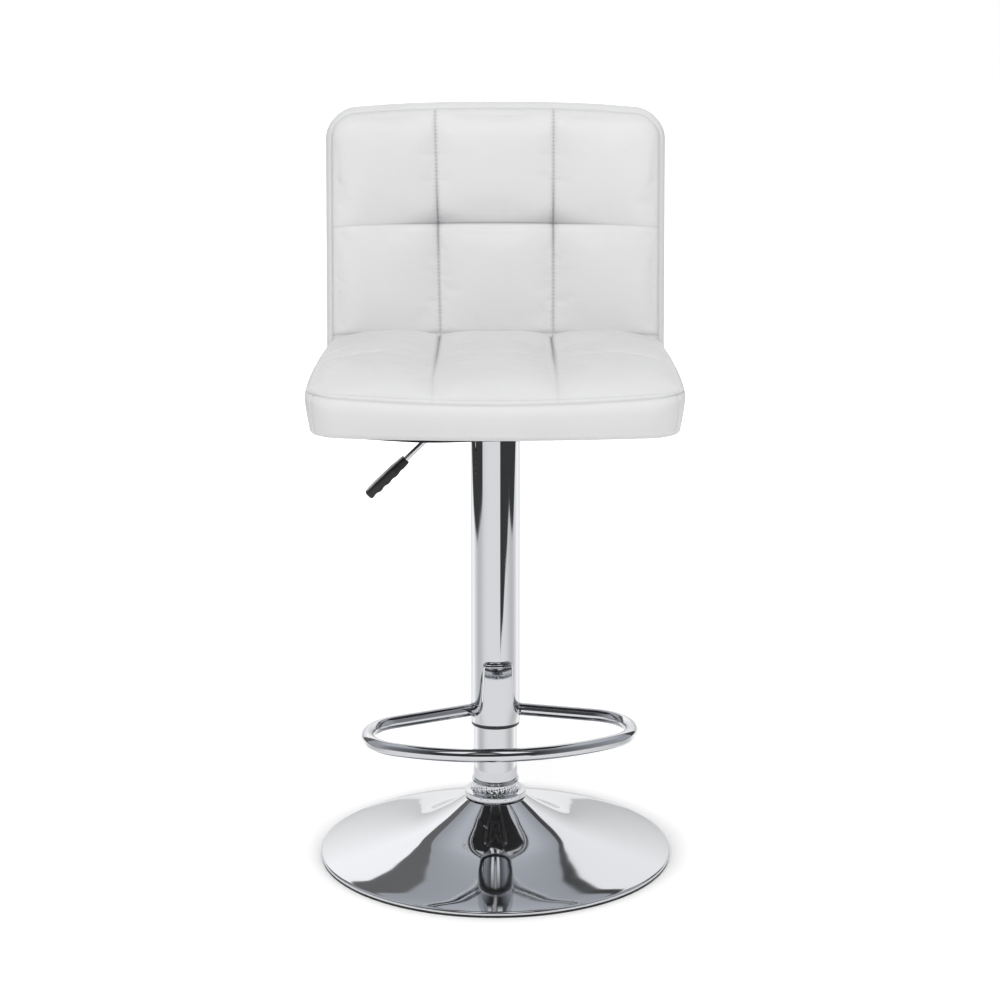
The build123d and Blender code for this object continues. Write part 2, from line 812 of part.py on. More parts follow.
def back_outline(inset, corner_r, low_corner_r):
    """Front view of the back, with an arched top and sides that draw in."""
    half = back_w / 2 - inset
    low, top = back_low + inset, back_top - inset
    shoulder = top - back_arch
    outline = make_face(
        [
            Line((-half, low), (half, low)),
            ThreePointArc((half, low), (half - back_draw, (low + shoulder) / 2), (half, shoulder)),
            ThreePointArc((half, shoulder), (0, top), (-half, shoulder)),
            ThreePointArc((-half, shoulder), (-half + back_draw, (low + shoulder) / 2), (-half, low)),
        ]
    )
    corners = outline.vertices().group_by(Axis.Y)
    outline = fillet(corners[-1], corner_r)
    outline = fillet(outline.vertices().group_by(Axis.Y)[0], low_corner_r)
    return extrude(Plane.XZ * outline, 2 * back_plan_r, both=True)


def back_section(height, crown, seam_depth, edge_depth):
    """Plan slice through the back's pad: three arcs in front, one curve behind."""
    half = back_w / 2 + cut_over
    rear_r = back_panel_front_r - soft_gap
    outer_x = (half + seam_x) / 2
    edge = (half, curve_y(half, back_plan_r) + edge_depth)
    seam = (seam_x, curve_y(seam_x, back_plan_r) + seam_depth)
    outer = (outer_x, curve_y(outer_x, back_plan_r) - crown)
    rear = (half, curve_y(half, rear_r))
    mirrored = lambda p: (-p[0], p[1])
    face = make_face(
        [
            ThreePointArc(mirrored(rear), (0, rear_r - back_plan_r), rear),
            Line(rear, edge),
            ThreePointArc(edge, outer, seam),
            ThreePointArc(seam, (0, -crown), mirrored(seam)),
            ThreePointArc(mirrored(seam), mirrored(outer), mirrored(edge)),
            Line(mirrored(edge), mirrored(rear)),
        ]
    )
    return Pos(0, 0, height) * face


def back_cushion():
    low, foot = [
        back_section(height, back_seam_crown, back_foot_seam_depth, back_edge_drop)
        for height in (back_low - cut_over, back_foot_seam)
    ]
    mid = back_section(back_mid_seam, back_seam_crown, back_mid_seam_depth, back_edge_drop)
    top = back_section(back_top + cut_over, back_top_crown, back_top_seam_depth, back_top_edge_drop)
    low_crest, top_crest = [
        back_section(height, back_crown, back_crest_seam_depth, back_crest_edge_drop)
        for height in ((back_foot_seam + back_mid_seam) / 2, (back_mid_seam + back_top) / 2)
    ]
    pad = loft([low, foot]) + loft([foot, low_crest, mid]) + loft([mid, top_crest, top])
    pad &= back_outline(0, back_corner_r, back_low_corner_r)
    return back_pose * (pad - back_board_blank(-soft_gap))


def back_board_blank(inset):
    slab = curved_slab(
        back_board_front_r + inset,
        back_board_rear_r - 2 * inset,
        back_w,
        back_low,
        back_top,
    )
    return slab & back_outline(back_board_inset + inset, back_board_corner_r, back_board_corner_r)


def back_board():
    board = back_pose * back_board_blank(0)
    return board - [place * screw(fit_gap / 2) for place in back_screw_places()]


def back_panel():
    rear_r = back_panel_front_r + back_panel_t
    panel = curved_slab(back_panel_front_r, rear_r, back_w, back_low, back_top)
    panel &= back_outline(back_panel_inset, back_corner_r, back_low_corner_r)
    outer = panel.faces().sort_by(lambda f: f.center().Y)[-1]
    panel = back_pose * fillet(outer.edges(), back_panel_round)
    return panel - [bracket_shape(side, fit_gap + soft_gap) for side in (-1, 1)]


def bracket_angle():
    return math.asin(bracket_x / back_board_rear_r)


def bracket_plane(side):
    """Upright plane through a bracket's middle, square to the back's curve there."""
    angle = side * bracket_angle()
    along = (math.sin(angle), math.cos(angle), 0)
    across = (math.cos(angle), -math.sin(angle), 0)
    return Plane(origin=(0, back_y - back_plan_r, 0), x_dir=along, z_dir=across)


def bracket_lean():
    return math.atan(math.tan(math.radians(back_lean)) * math.cos(bracket_angle()))


def bracket_face_s(z):
    """Distance from the back's centre of curvature to the bracket's front face, at a height."""
    behind = (back_board_rear_r - back_plan_r) / math.cos(math.radians(back_lean))
    return back_plan_r + behind + soft_gap + (z - back_z) * math.tan(bracket_lean())


def bracket_shape(side, grow):
    """Bent flat bar under the seat board and up behind the back, or the room it needs."""
    lean = bracket_lean()
    low, high = board_low_z - bracket_t - grow, board_low_z + grow
    top = board_low_z + bracket_up + grow
    thick = bracket_t + 2 * grow
    face_s = lambda z: bracket_face_s(z) - grow
    end_s = bracket_face_s(board_low_z) - bracket_leg - grow
    face = make_face(
        Polyline(
            (end_s, low),
            (end_s, high),
            (face_s(high), high),
            (face_s(top), top),
            (face_s(top) + thick * math.cos(lean), top - thick * math.sin(lean)),
            (face_s(low) + thick / math.cos(lean), low),
            close=True,
        )
    )
    outer_corner = face.vertices().sort_by(lambda v: v.X - v.Y)[-1]
    face = fillet(outer_corner, bracket_bend_r + thick)
    return extrude(bracket_plane(side) * face, bracket_w / 2 + grow, both=True)


def screw(grow):
    """Countersunk screw, its flat head at the origin and its point along +Z."""
    length = bracket_t + screw_bite
    head = Cone(screw_head_r + grow, screw_r + grow, screw_head_h + grow, align=upright)
    return head + Cylinder(screw_r + grow, length + grow, align=upright)


def seat_screw_places():
    places = []
    for side in (-1, 1):
        for i in range(2):
            s = bracket_face_s(board_low_z) - bracket_leg + screw_end + i * screw_pitch
            spot = bracket_plane(side).from_local_coords((s, board_low_z - bracket_t, 0))
            places.append(Pos(spot.X, spot.Y, spot.Z))
    return places


def back_screw_places():
    lean = bracket_lean()
    places = []
    for side in (-1, 1):
        plane = bracket_plane(side)
        for i in range(2):
            z = board_low_z + bracket_up - screw_end - i * screw_pitch
            s = bracket_face_s(z) + bracket_t * math.cos(lean)
            spot = plane.from_local_coords((s, z - bracket_t * math.sin(lean), 0))
            inward = plane.x_dir * -math.cos(lean) + Vector(0, 0, math.sin(lean))
            places.append(Plane(origin=spot, z_dir=inward).location)
    return places


def back_brackets():
    places = seat_screw_places() + back_screw_places()
    holes = [place * screw(fit_gap / 2) for place in places]
    return [bracket_shape(side, 0) - holes for side in (-1, 1)]


def bracket_screws():
    return [place * screw(0) for place in seat_screw_places() + back_screw_places()]


nodes = [
    base_shell,
    base_disc,
    floor_ring,
    hub_socket,
    neck_bell,
    stand_tube,
    guide_sleeve,
    lower_race,
    upper_race,
    bearing_balls,
    ball_cage,
    piston_rod,
    rod_clip,
    bump_stop,
    gas_piston,
    gas_cylinder,
    rod_seal,
    release_pin,
    cover_tube,
    tube_cap,
    glide_bush,
    footrest_collar,
    footrest_hoop,
    seat_plate,
    plate_bolts,
    tee_nuts,
    taper_socket,
    lever_bracket,
    lever_pin,
    lever_rod,
    lever_grip,
    seat_cushion,
    seat_board,
    dust_cover,
    back_cushion,
    back_board,
    back_panel,
    back_brackets,
    bracket_screws,
]

os.makedirs("parts", exist_ok=True)
for make in nodes:
    made = make()
    solids = [s for piece in made for s in piece.solids()] if isinstance(made, list) else made.solids()
    shape = solids[0] if len(solids) == 1 else Compound(children=list(solids))
    shape.label = make.__name__
    export_step(shape, f"parts/{make.__name__}.step")
    print(make.__name__, len(solids), round(sum(s.volume for s in solids)))
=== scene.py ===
import json
import math

import bpy
import numpy as np
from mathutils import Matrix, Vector


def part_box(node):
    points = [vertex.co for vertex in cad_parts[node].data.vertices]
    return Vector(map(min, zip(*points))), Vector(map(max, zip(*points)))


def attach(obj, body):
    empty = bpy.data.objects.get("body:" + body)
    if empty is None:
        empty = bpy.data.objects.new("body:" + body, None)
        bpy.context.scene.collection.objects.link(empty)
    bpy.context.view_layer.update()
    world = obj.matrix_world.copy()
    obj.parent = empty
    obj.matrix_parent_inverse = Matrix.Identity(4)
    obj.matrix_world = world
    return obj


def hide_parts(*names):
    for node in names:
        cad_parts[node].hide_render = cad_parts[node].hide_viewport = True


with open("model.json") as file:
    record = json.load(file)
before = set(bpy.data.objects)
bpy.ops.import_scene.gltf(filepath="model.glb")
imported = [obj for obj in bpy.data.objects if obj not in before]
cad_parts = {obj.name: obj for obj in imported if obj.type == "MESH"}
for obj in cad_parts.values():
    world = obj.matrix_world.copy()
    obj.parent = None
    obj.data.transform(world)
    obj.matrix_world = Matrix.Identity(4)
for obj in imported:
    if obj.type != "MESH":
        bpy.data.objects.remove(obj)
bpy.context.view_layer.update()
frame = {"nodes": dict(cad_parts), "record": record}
print("frame loaded:", len(frame["nodes"]), "nodes")

# Sizes below are millimetres; a mesh is turned to metres when it is laid.
toMetres = 0.001


def nodeBox(node):
    # lowest and highest corner of a CAD node, in millimetres
    low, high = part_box(node)
    return np.array(low) / toMetres, np.array(high) / toMetres


# Surfaces on grids


def unit(vectors):
    # vectors brought to length one
    return vectors / np.maximum(np.linalg.norm(vectors, axis=-1, keepdims=True), 1e-9)


def quarterRound(t):
    # quarter ellipse: steep at 0, level from 1 on
    return np.sqrt(1 - (1 - np.clip(t, 0, 1)) ** 2)


def fade(distance, width):
    # 1 on a line, falling to 0 at a width to either side, with a sharp foot on the line
    return np.clip(1 - np.abs(distance) / width, 0, 1) ** 2


def bell(t):
    # 1 at 0, falling off as a bell curve
    return np.exp(-t * t)


def spacedStops(stops, fine, coarse, reach, samples=2000):
    # positions from stop to stop, with steps that grow from fine beside a stop to coarse at a reach from it
    runs = []
    for start, end in zip(stops[:-1], stops[1:]):
        x = np.linspace(start, end, samples)
        step = fine + (coarse - fine) * np.clip(np.minimum(x - start, end - x) / reach, 0, 1)
        count = np.concatenate([[0], np.cumsum(np.diff(x) / step[:-1])])
        runs.append(np.interp(np.linspace(0, count[-1], math.ceil(count[-1]) + 1)[:-1], count, x))
    return np.concatenate([*runs, [stops[-1]]])


def gridQuads(rows, cols, wrapRows=False, wrapCols=False):
    # each quad joins a grid point to its next row and next column; a wrapped side runs back to its start
    i = np.arange(rows if wrapRows else rows - 1)[:, None]
    j = np.arange(cols if wrapCols else cols - 1)[None, :]
    down, right = (i + 1) % rows, (j + 1) % cols
    corners = [i * cols + j, down * cols + j, down * cols + right, i * cols + right]
    return np.stack(corners, axis=-1).reshape(-1, 4)


def gridPart(points, wrapRows=False, wrapCols=False):
    # a surface as a list of points and a list of quads
    rows, cols = points.shape[:2]
    return points.reshape(-1, 3), gridQuads(rows, cols, wrapRows, wrapCols)


def joinParts(parts):
    # several surfaces as one list of points and one of quads
    starts = np.cumsum([0] + [len(p) for p, _ in parts])
    points = np.concatenate([p for p, _ in parts])
    return points, np.concatenate([q + start for (_, q), start in zip(parts, starts)])


def weld(points, quads):
    # points on the same micrometre become one; a quad that loses a corner becomes a triangle
    keys = np.round(points / toMetres).astype(np.int64)
    _, first, index = np.unique(keys, axis=0, return_index=True, return_inverse=True)
    faces = index.reshape(-1)[quads]
    same = faces == np.roll(faces, -1, axis=1)
    lost = same.sum(axis=1)
    pinched, at = faces[lost == 1], np.argmax(same[lost == 1], axis=1)[:, None]
    triangles = np.take_along_axis(pinched, (at + np.arange(1, 4)) % 4, axis=1)
    return first, faces[lost == 0], triangles


def insideOut(points, quads, triangles):
    # the volume that the faces enclose is negative where they point inwards
    corners = np.concatenate([quads[:, :3], quads[:, [0, 2, 3]], triangles])
    a, b, c = (points[corners[:, k]] for k in range(3))
    return np.einsum("ij,ij->", a, np.cross(b, c)) < 0


def pointNormals(points, quads):
    # sum of the normals of the quads round each point
    across = np.cross(points[quads[:, 2]] - points[quads[:, 0]], points[quads[:, 3]] - points[quads[:, 1]])
    total = np.zeros_like(points)
    np.add.at(total, quads.ravel(), np.repeat(across, 4, axis=0))
    return unit(total)


def layPiece(name, parts, finish, body, replaced=(), paintedLight=None):
    # each part is a closed surface; all are welded, turned outwards and laid in one mesh on a CAD body
    laid, faces, marks, start = [], [], [], 0
    for n, (points, quads) in enumerate(parts):
        first, whole, triangles = weld(points, quads)
        kept = points[first]
        if insideOut(kept, whole, triangles):
            whole, triangles = whole[:, ::-1], triangles[:, ::-1]
        laid.append(kept)
        faces += (whole + start).tolist() + (triangles + start).tolist()
        marks.append(np.zeros(len(kept)) if paintedLight is None else paintedLight[n][first])
        start += len(kept)
    mesh = bpy.data.meshes.new(name)
    mesh.from_pydata((np.concatenate(laid) * toMetres).tolist(), [], faces)
    mesh.polygons.foreach_set("use_smooth", np.ones(len(mesh.polygons), bool))
    # a per-point share of painted light: painted shade on the padding, a painted highlight on the grip
    if paintedLight is not None:
        mesh.attributes.new("paintedLight", "FLOAT", "POINT").data.foreach_set("value", np.concatenate(marks))
    mesh.materials.append(finish)
    piece = bpy.data.objects.new(name, mesh)
    bpy.context.scene.collection.objects.link(piece)
    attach(piece, body)
    if replaced:
        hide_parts(*replaced)
    print("laid", name, len(mesh.polygons), "faces")
    return piece


def arcPoints(centre, radius, start, end, count):
    # points on a circle from one angle to another, in radians
    t = np.linspace(start, end, count)
    return np.stack([centre[0] + radius * np.cos(t), centre[1] + radius * np.sin(t)], axis=1)


def roundedLoop(points, radius, steps=6, hold=0.5):
    # closed outline with quadratic curves for corners, and a point on each side to hold the flat beside them
    p = np.array(points, float)
    before, after = unit(np.roll(p, 1, axis=0) - p), unit(np.roll(p, -1, axis=0) - p)
    reach = np.broadcast_to(radius, len(p))[:, None]
    t = np.linspace(0, 1, steps)[None, :, None]
    start, end = (p + before * reach)[:, None], (p + after * reach)[:, None]
    curve = (1 - t) ** 2 * start + 2 * t * (1 - t) * p[:, None] + t**2 * end
    held = [(p + side * reach * (1 + hold))[:, None] for side in (before, after)]
    return np.concatenate([held[0], curve, held[1]], axis=1).reshape(-1, 2)


def ringLoop(inner, outer, low, high, radius):
    # section of a plain ring with rounded edges
    return roundedLoop([(inner, low), (outer, low), (outer, high), (inner, high)], radius)


def lathe(profile, segments):
    # closed profile of (radius, height), turned about the column's axis
    a = np.linspace(0, 2 * np.pi, segments, endpoint=False)[:, None]
    radius, height = profile[:, 0][None], profile[:, 1][None]
    points = np.stack([np.cos(a) * radius, np.sin(a) * radius, height + 0 * a], axis=-1)
    return gridPart(points, wrapRows=True, wrapCols=True)


def tubeAlong(path, radius, side, sides):
    # circle carried along a flat path; side is square to the path's plane, and both ends are closed
    along = unit(np.gradient(path, axis=0))
    across = np.cross(along, side)
    t = np.linspace(0, 2 * np.pi, sides, endpoint=False)[None, :, None]
    ring = np.cos(t) * np.array(side)[None, None] + np.sin(t) * across[:, None]
    skin = path[:, None] + radius * ring
    ends = [np.broadcast_to(path[k], (1, sides, 3)) for k in (0, -1)]
    return gridPart(np.concatenate([ends[0], skin, ends[1]]), wrapCols=True)


# Finishes


def wire(tree, kind, settings=(), inputs=()):
    # a node with its settings, and with its inputs set to a value or linked to another node's output
    node = tree.nodes.new(kind)
    for key, value in dict(settings).items():
        setattr(node, key, value)
    for key, value in dict(inputs).items():
        if isinstance(value, bpy.types.NodeSocket):
            tree.links.new(value, node.inputs[key])
        else:
            node.inputs[key].default_value = value
    return node


def newFinish(name, colour, roughness, **sockets):
    # a material with its node tree, its shader and each point's place in its object
    material = bpy.data.materials.new(name)
    material.use_nodes = True
    tree = material.node_tree
    shader = tree.nodes["Principled BSDF"]
    shader.inputs["Base Color"].default_value = (*colour, 1)
    shader.inputs["Roughness"].default_value = roughness
    for key, value in sockets.items():
        shader.inputs[key.replace("_", " ")].default_value = value
    place = wire(tree, "ShaderNodeTexCoord").outputs["Object"]
    return material, tree, shader, place


def sums(tree, operation, first, second=0.0, third=0.0):
    # one step of arithmetic on values or sockets
    inputs = {0: first, 1: second, 2: third}
    return wire(tree, "ShaderNodeMath", {"operation": operation}, inputs).outputs["Value"]


def addShare(tree, base, extra, share):
    # a value with a share of another value added to it
    return sums(tree, "MULTIPLY_ADD", extra, share, base)


def grainNoise(tree, place, scale, detail, stretch=(1, 1, 1)):
    # cloudy noise from 0 to 1, drawn out along an axis by a small stretch
    moved = wire(tree, "ShaderNodeMapping", inputs={"Vector": place, "Scale": stretch}).outputs["Vector"]
    inputs = {"Vector": moved, "Scale": scale, "Detail": detail}
    return wire(tree, "ShaderNodeTexNoise", inputs=inputs).outputs["Fac"]


def toRange(tree, value, low, high, fromLow=0.3, fromHigh=0.7):
    # a value between two limits carried to between low and high
    inputs = {"Value": value, "From Min": fromLow, "From Max": fromHigh, "To Min": low, "To Max": high}
    return wire(tree, "ShaderNodeMapRange", inputs=inputs).outputs["Result"]


def bumpOn(tree, shader, height, strength, depth):
    # depth in millimetres
    inputs = {"Height": height, "Strength": strength, "Distance": depth * toMetres}
    bump = wire(tree, "ShaderNodeBump", inputs=inputs)
    tree.links.new(bump.outputs["Normal"], shader.inputs["Normal"])


def overlay(tree, share, under, over):
    # one colour laid over another, by a share from 0 to 1; a mix node's colours are its inputs 6 and 7
    return wire(tree, "ShaderNodeMix", {"data_type": "RGBA"}, {0: share, 6: under, 7: over}).outputs[2]


def blendColours(tree, share, low, high):
    # colour from low to high as the share goes from 0 to 1
    return overlay(tree, share, (*low, 1), (*high, 1))


def chromeFinish():
    # mirror plating with faint smears
    material, tree, shader, place = newFinish("chrome", (0.66, 0.67, 0.69), roughness=0.05, Metallic=1.0)
    smear = grainNoise(tree, place, scale=14, detail=4)
    tree.links.new(toRange(tree, smear, low=0.025, high=0.075), shader.inputs["Roughness"])
    return material


def leatheretteFinish():
    # pale coated cloth: pebbled grain, soft gloss, and painted shade that greys its seams and pressed creases
    pale, seamShadeTone = (0.7, 0.7, 0.703), (0.25, 0.25, 0.26, 1)
    material, tree, shader, place = newFinish("leatherette", pale, roughness=0.42, Specular_IOR_Level=0.42)
    pebbles = {"Vector": place, "Scale": 820, "Smoothness": 0.6, "Randomness": 0.95}
    pebble = wire(tree, "ShaderNodeTexVoronoi", {"feature": "SMOOTH_F1"}, pebbles).outputs["Distance"]
    fine = grainNoise(tree, place, scale=2400, detail=2)
    bumpOn(tree, shader, addShare(tree, pebble, fine, share=0.35), strength=0.22, depth=0.25)
    cloud = toRange(tree, grainNoise(tree, place, scale=9, detail=4), 0, 1)
    tone = blendColours(tree, cloud, (0.69, 0.69, 0.696), (0.715, 0.715, 0.715))
    # painted shade: a per-point share lays a dark grey over the cloth's tone along seams and creases
    paintedLight = wire(tree, "ShaderNodeAttribute", {"attribute_name": "paintedLight"}).outputs["Fac"]
    tree.links.new(overlay(tree, paintedLight, tone, seamShadeTone), shader.inputs["Base Color"])
    gloss = toRange(tree, grainNoise(tree, place, scale=60, detail=5), low=0.36, high=0.5)
    tree.links.new(gloss, shader.inputs["Roughness"])
    return material


def threadFinish():
    # spun thread: a fine twist along each stitch
    material, tree, shader, place = newFinish("thread", (0.66, 0.66, 0.67), roughness=0.65)
    bumpOn(tree, shader, grainNoise(tree, place, scale=3000, detail=1), strength=0.4, depth=0.1)
    twist = grainNoise(tree, place, scale=500, detail=1)
    tone = blendColours(tree, twist, (0.6, 0.6, 0.61), (0.7, 0.7, 0.71))
    tree.links.new(tone, shader.inputs["Base Color"])
    return material


def mouldedFinish(name, colour, roughness, scale, strength):
    # moulded plastic or rubber with a fine matt grain and uneven gloss
    material, tree, shader, place = newFinish(name, colour, roughness)
    bumpOn(tree, shader, grainNoise(tree, place, scale, detail=3), strength, depth=0.12)
    wear = grainNoise(tree, place, scale=45, detail=5)
    gloss = toRange(tree, wear, low=0.8 * roughness, high=min(1.25 * roughness, 1.0))
    tree.links.new(gloss, shader.inputs["Roughness"])
    pale = tuple(1.25 * c for c in colour)
    tone = blendColours(tree, grainNoise(tree, place, scale=120, detail=4), colour, pale)
    tree.links.new(tone, shader.inputs["Base Color"])
    return material


def gripFinish():
    # black plastic with a painted highlight: a pale, patchy strip along its top
    highlightTone = (0.66, 0.66, 0.67, 1)
    material = mouldedFinish("grip_plastic", black, roughness=0.34, scale=1500, strength=0.12)
    tree = material.node_tree
    shader = tree.nodes["Principled BSDF"]
    moulded = shader.inputs["Base Color"].links[0].from_socket
    # painted highlight: the per-point share that marks the pale strip
    highlightMask = wire(tree, "ShaderNodeAttribute", {"attribute_name": "paintedLight"}).outputs["Fac"]
    place = wire(tree, "ShaderNodeTexCoord").outputs["Object"]
    patchy = toRange(tree, grainNoise(tree, place, scale=90, detail=4), low=0.75, high=1.0)
    share = sums(tree, "MULTIPLY", highlightMask, patchy)
    tree.links.new(overlay(tree, share, moulded, highlightTone), shader.inputs["Base Color"])
    return material


def metalFinish(name, colour, roughness, stretch):
    # bare or plated metal with drawn lines and a mottled gloss
    material, tree, shader, place = newFinish(name, colour, roughness, Metallic=1.0)
    lines = grainNoise(tree, place, scale=400, detail=3, stretch=stretch)
    bumpOn(tree, shader, lines, strength=0.15, depth=0.05)
    gloss = toRange(tree, lines, low=0.75 * roughness, high=1.3 * roughness)
    tree.links.new(gloss, shader.inputs["Roughness"])
    dull = tuple(0.82 * c for c in colour)
    tone = blendColours(tree, grainNoise(tree, place, scale=30, detail=5), dull, colour)
    tree.links.new(tone, shader.inputs["Base Color"])
    return material


def plywoodFinish():
    # rotary-cut birch: long wavering grain over thin glued layers
    dark, light = (0.42, 0.28, 0.15), (0.68, 0.53, 0.35)
    material, tree, shader, place = newFinish("plywood", (0.6, 0.45, 0.28), roughness=0.6)
    grain = grainNoise(tree, place, scale=60, detail=6, stretch=(1, 0.08, 1))
    waves = {"Vector": place, "Scale": 210, "Distortion": 1.5, "Detail": 2}
    layers = wire(tree, "ShaderNodeTexWave", {"bands_direction": "Z"}, waves).outputs["Fac"]
    both = addShare(tree, grain, layers, share=0.3)
    tone = blendColours(tree, toRange(tree, both, 0, 1, fromLow=0.3, fromHigh=1.0), dark, light)
    tree.links.new(tone, shader.inputs["Base Color"])
    bumpOn(tree, shader, both, strength=0.2, depth=0.2)
    return material


def dustClothFinish():
    # black non-woven cloth: felted fibres and pressed dots
    dark, light = (0.008, 0.008, 0.009), (0.024, 0.024, 0.026)
    material, tree, shader, place = newFinish("dust_cloth", (0.012, 0.012, 0.013), roughness=0.9)
    fibres = grainNoise(tree, place, scale=900, detail=6)
    pressed = {"Vector": place, "Scale": 500, "Randomness": 0.1}
    dots = wire(tree, "ShaderNodeTexVoronoi", inputs=pressed).outputs["Distance"]
    bumpOn(tree, shader, addShare(tree, fibres, dots, share=0.6), strength=0.5, depth=0.3)
    tone = blendColours(tree, toRange(tree, fibres, 0, 1), dark, light)
    tree.links.new(tone, shader.inputs["Base Color"])
    return material


black, paint, cream = (0.014, 0.014, 0.015), (0.018, 0.018, 0.019), (0.68, 0.67, 0.63)
chrome, leatherette, dustCloth = chromeFinish(), leatheretteFinish(), dustClothFinish()
thread, gripPlastic = threadFinish(), gripFinish()
slotFinishes = {
    "chrome": chrome,
    "leatherette": leatherette,
    "black_plastic": mouldedFinish("black_plastic", black, roughness=0.36, scale=1500, strength=0.12),
    "pale_plastic": mouldedFinish("pale_plastic", cream, roughness=0.42, scale=1200, strength=0.1),
    "rubber": mouldedFinish("rubber", (0.016, 0.016, 0.016), roughness=0.7, scale=700, strength=0.3),
    "black_steel": mouldedFinish("black_steel", paint, roughness=0.45, scale=620, strength=0.2),
    "steel": metalFinish("steel", (0.56, 0.565, 0.58), roughness=0.28, stretch=(1, 1, 0.1)),
    "brass": metalFinish("brass", (0.72, 0.55, 0.27), roughness=0.3, stretch=(1, 1, 0.2)),
    "plywood": plywoodFinish(),
    "dust_cloth": dustCloth,
}
for part in frame["record"]["subparts"]:
    slots = frame["nodes"][part["node"]].data.materials
    slots.clear()
    slots.append(slotFinishes[part["material_slot"]])
print("finishes on", len(frame["nodes"]), "CAD nodes")


# Foot and column

foot = {
    "wall": 1.6,
    "rimTop": 6.5,
    "rimRound": 2.4,
    "rimSteps": 10,
    "radii": (33.0, 46.0, 58.0, 74.0, 88.0, 100.0, 118.0, 150.0, 180.0, 192.0),
    "slopes": (36.5, 35.0, 31.2, 28.6, 22.6, 16.4, 13.7, 11.9, 12.2, 15.5),
    "steps": 150,
    "easedOver": 4,
    "liningStop": 1.0,
    "liningClear": 0.5,
    "lipBevel": 0.3,
    "segments": 288,
}


def footProfile():
    # a trumpet: its slope runs in straight lines between stations, eased over a few steps to either side;
    # its height is the slope's sum from the rim inwards, and the inside lies a wall thickness below
    low, high = nodeBox("base_shell")
    edge, under, wall, rimRound = high[0], low[2], foot["wall"], foot["rimRound"]
    r = np.linspace(foot["radii"][0], edge - rimRound, foot["steps"])
    window = 2 * foot["easedOver"] + 1
    slopes = np.pad(np.interp(r, foot["radii"], foot["slopes"]), foot["easedOver"], "edge")
    slopes = np.convolve(slopes, np.full(window, 1 / window), "valid")
    drops = np.diff(r) * np.tan(np.radians((slopes[1:] + slopes[:-1]) / 2))
    fall = np.concatenate([[0], np.cumsum(drops)])
    skin = np.column_stack([r, foot["rimTop"] + fall[-1] - fall])
    along = unit(np.gradient(skin, axis=0))
    lining = skin - wall * np.column_stack([-along[:, 1], along[:, 0]])
    inside = (lining[:, 0] < edge - wall - foot["liningStop"]) & (lining[:, 1] > under + foot["liningClear"])
    rimStart = np.pi / 2 - math.radians(foot["slopes"][-1])
    rim = arcPoints((r[-1], foot["rimTop"] - rimRound), rimRound, rimStart, 0, foot["rimSteps"])
    bevel = foot["lipBevel"]
    lip = [(edge, under + bevel), (edge - bevel, under), (edge - wall, under)]
    return np.concatenate([skin, rim[1:], lip, lining[inside][::-1]])


layPiece("foot", [lathe(footProfile(), foot["segments"])], chrome, "base", ["base_shell"])

neck = {
    "lip": 6.2,
    "lipRound": 1.0,
    "lowStep": 1.0,
    "topLip": 2.2,
    "topRound": 0.9,
    "topRadius": 26.0,
    "topStep": 0.4,
    "boreGap": 0.1,
    "coveSquare": 4.0,
    "coveSteps": 40,
    "waves": ((23, 1.0), (31, -0.8)),
    "waveRise": 1.1,
    "waveMiddle": 10.5,
    "waveReach": 4.0,
    "waveDepth": 0.2,
    "segments": 480,
}


def neckProfile():
    # two rounded lips, and between them a hollow cove: a quarter of |x/a|^n + |y/b|^n = 1 about the lower
    # lip's edge; of each lip only the two outer corners are used
    low, high = nodeBox("neck_bell")
    base, top, lipRadius, topRadius = low[2], high[2], high[0], neck["topRadius"]
    bore = nodeBox("stand_tube")[1][0] + neck["boreGap"]
    lipTop, coveTop = base + neck["lip"], top - neck["topLip"]
    outer, inner = lipRadius - neck["lowStep"], topRadius - neck["topStep"]
    turn, power = np.linspace(0, np.pi / 2, neck["coveSteps"]), 2 / neck["coveSquare"]
    coveRadii = outer - (outer - inner) * np.sin(turn) ** power
    coveHeights = coveTop - (coveTop - lipTop) * np.cos(turn) ** power
    lips = (
        ringLoop(bore, lipRadius, base, lipTop, neck["lipRound"]),
        ringLoop(bore, topRadius, coveTop, top, neck["topRound"]),
    )
    lowLip, topLip = (lip.reshape(4, -1, 2)[1:3].reshape(-1, 2) for lip in lips)
    cove = np.column_stack([coveRadii, coveHeights])
    return np.concatenate([[(bore, base)], lowLip, cove, topLip, [(bore, top)]])


def neckPart():
    # the turned profile, with small crossing waves left in the cove by its casting
    points, quads = lathe(neckProfile(), neck["segments"])
    angle, radius = np.arctan2(points[:, 1], points[:, 0]), np.hypot(points[:, 0], points[:, 1])
    up = points[:, 2] - nodeBox("neck_bell")[0][2]
    wave = sum(np.sin(count * angle + lean * up / neck["waveRise"]) for count, lean in neck["waves"])
    coveStart = neck["topRadius"] - neck["topStep"]
    inCove = bell((up - neck["waveMiddle"]) / neck["waveReach"]) * (radius > coveStart)
    points[:, :2] *= (1 + neck["waveDepth"] * wave * inCove / radius)[:, None]
    return points, quads


layPiece("neck_ring", [neckPart()], chrome, "base", ["neck_bell"])

column = {"standWall": 2.0, "coverWall": 1.5, "endRound": 0.6, "segments": 192}
standFoot = {"radius": 22.6, "taperTop": 67.0, "floor": 4.0, "rodHole": 5.06}


def coverProfile():
    # straight tube with rounded ends
    low, high = nodeBox("cover_tube")
    return ringLoop(high[0] - column["coverWall"], high[0], low[2], high[2], column["endRound"])


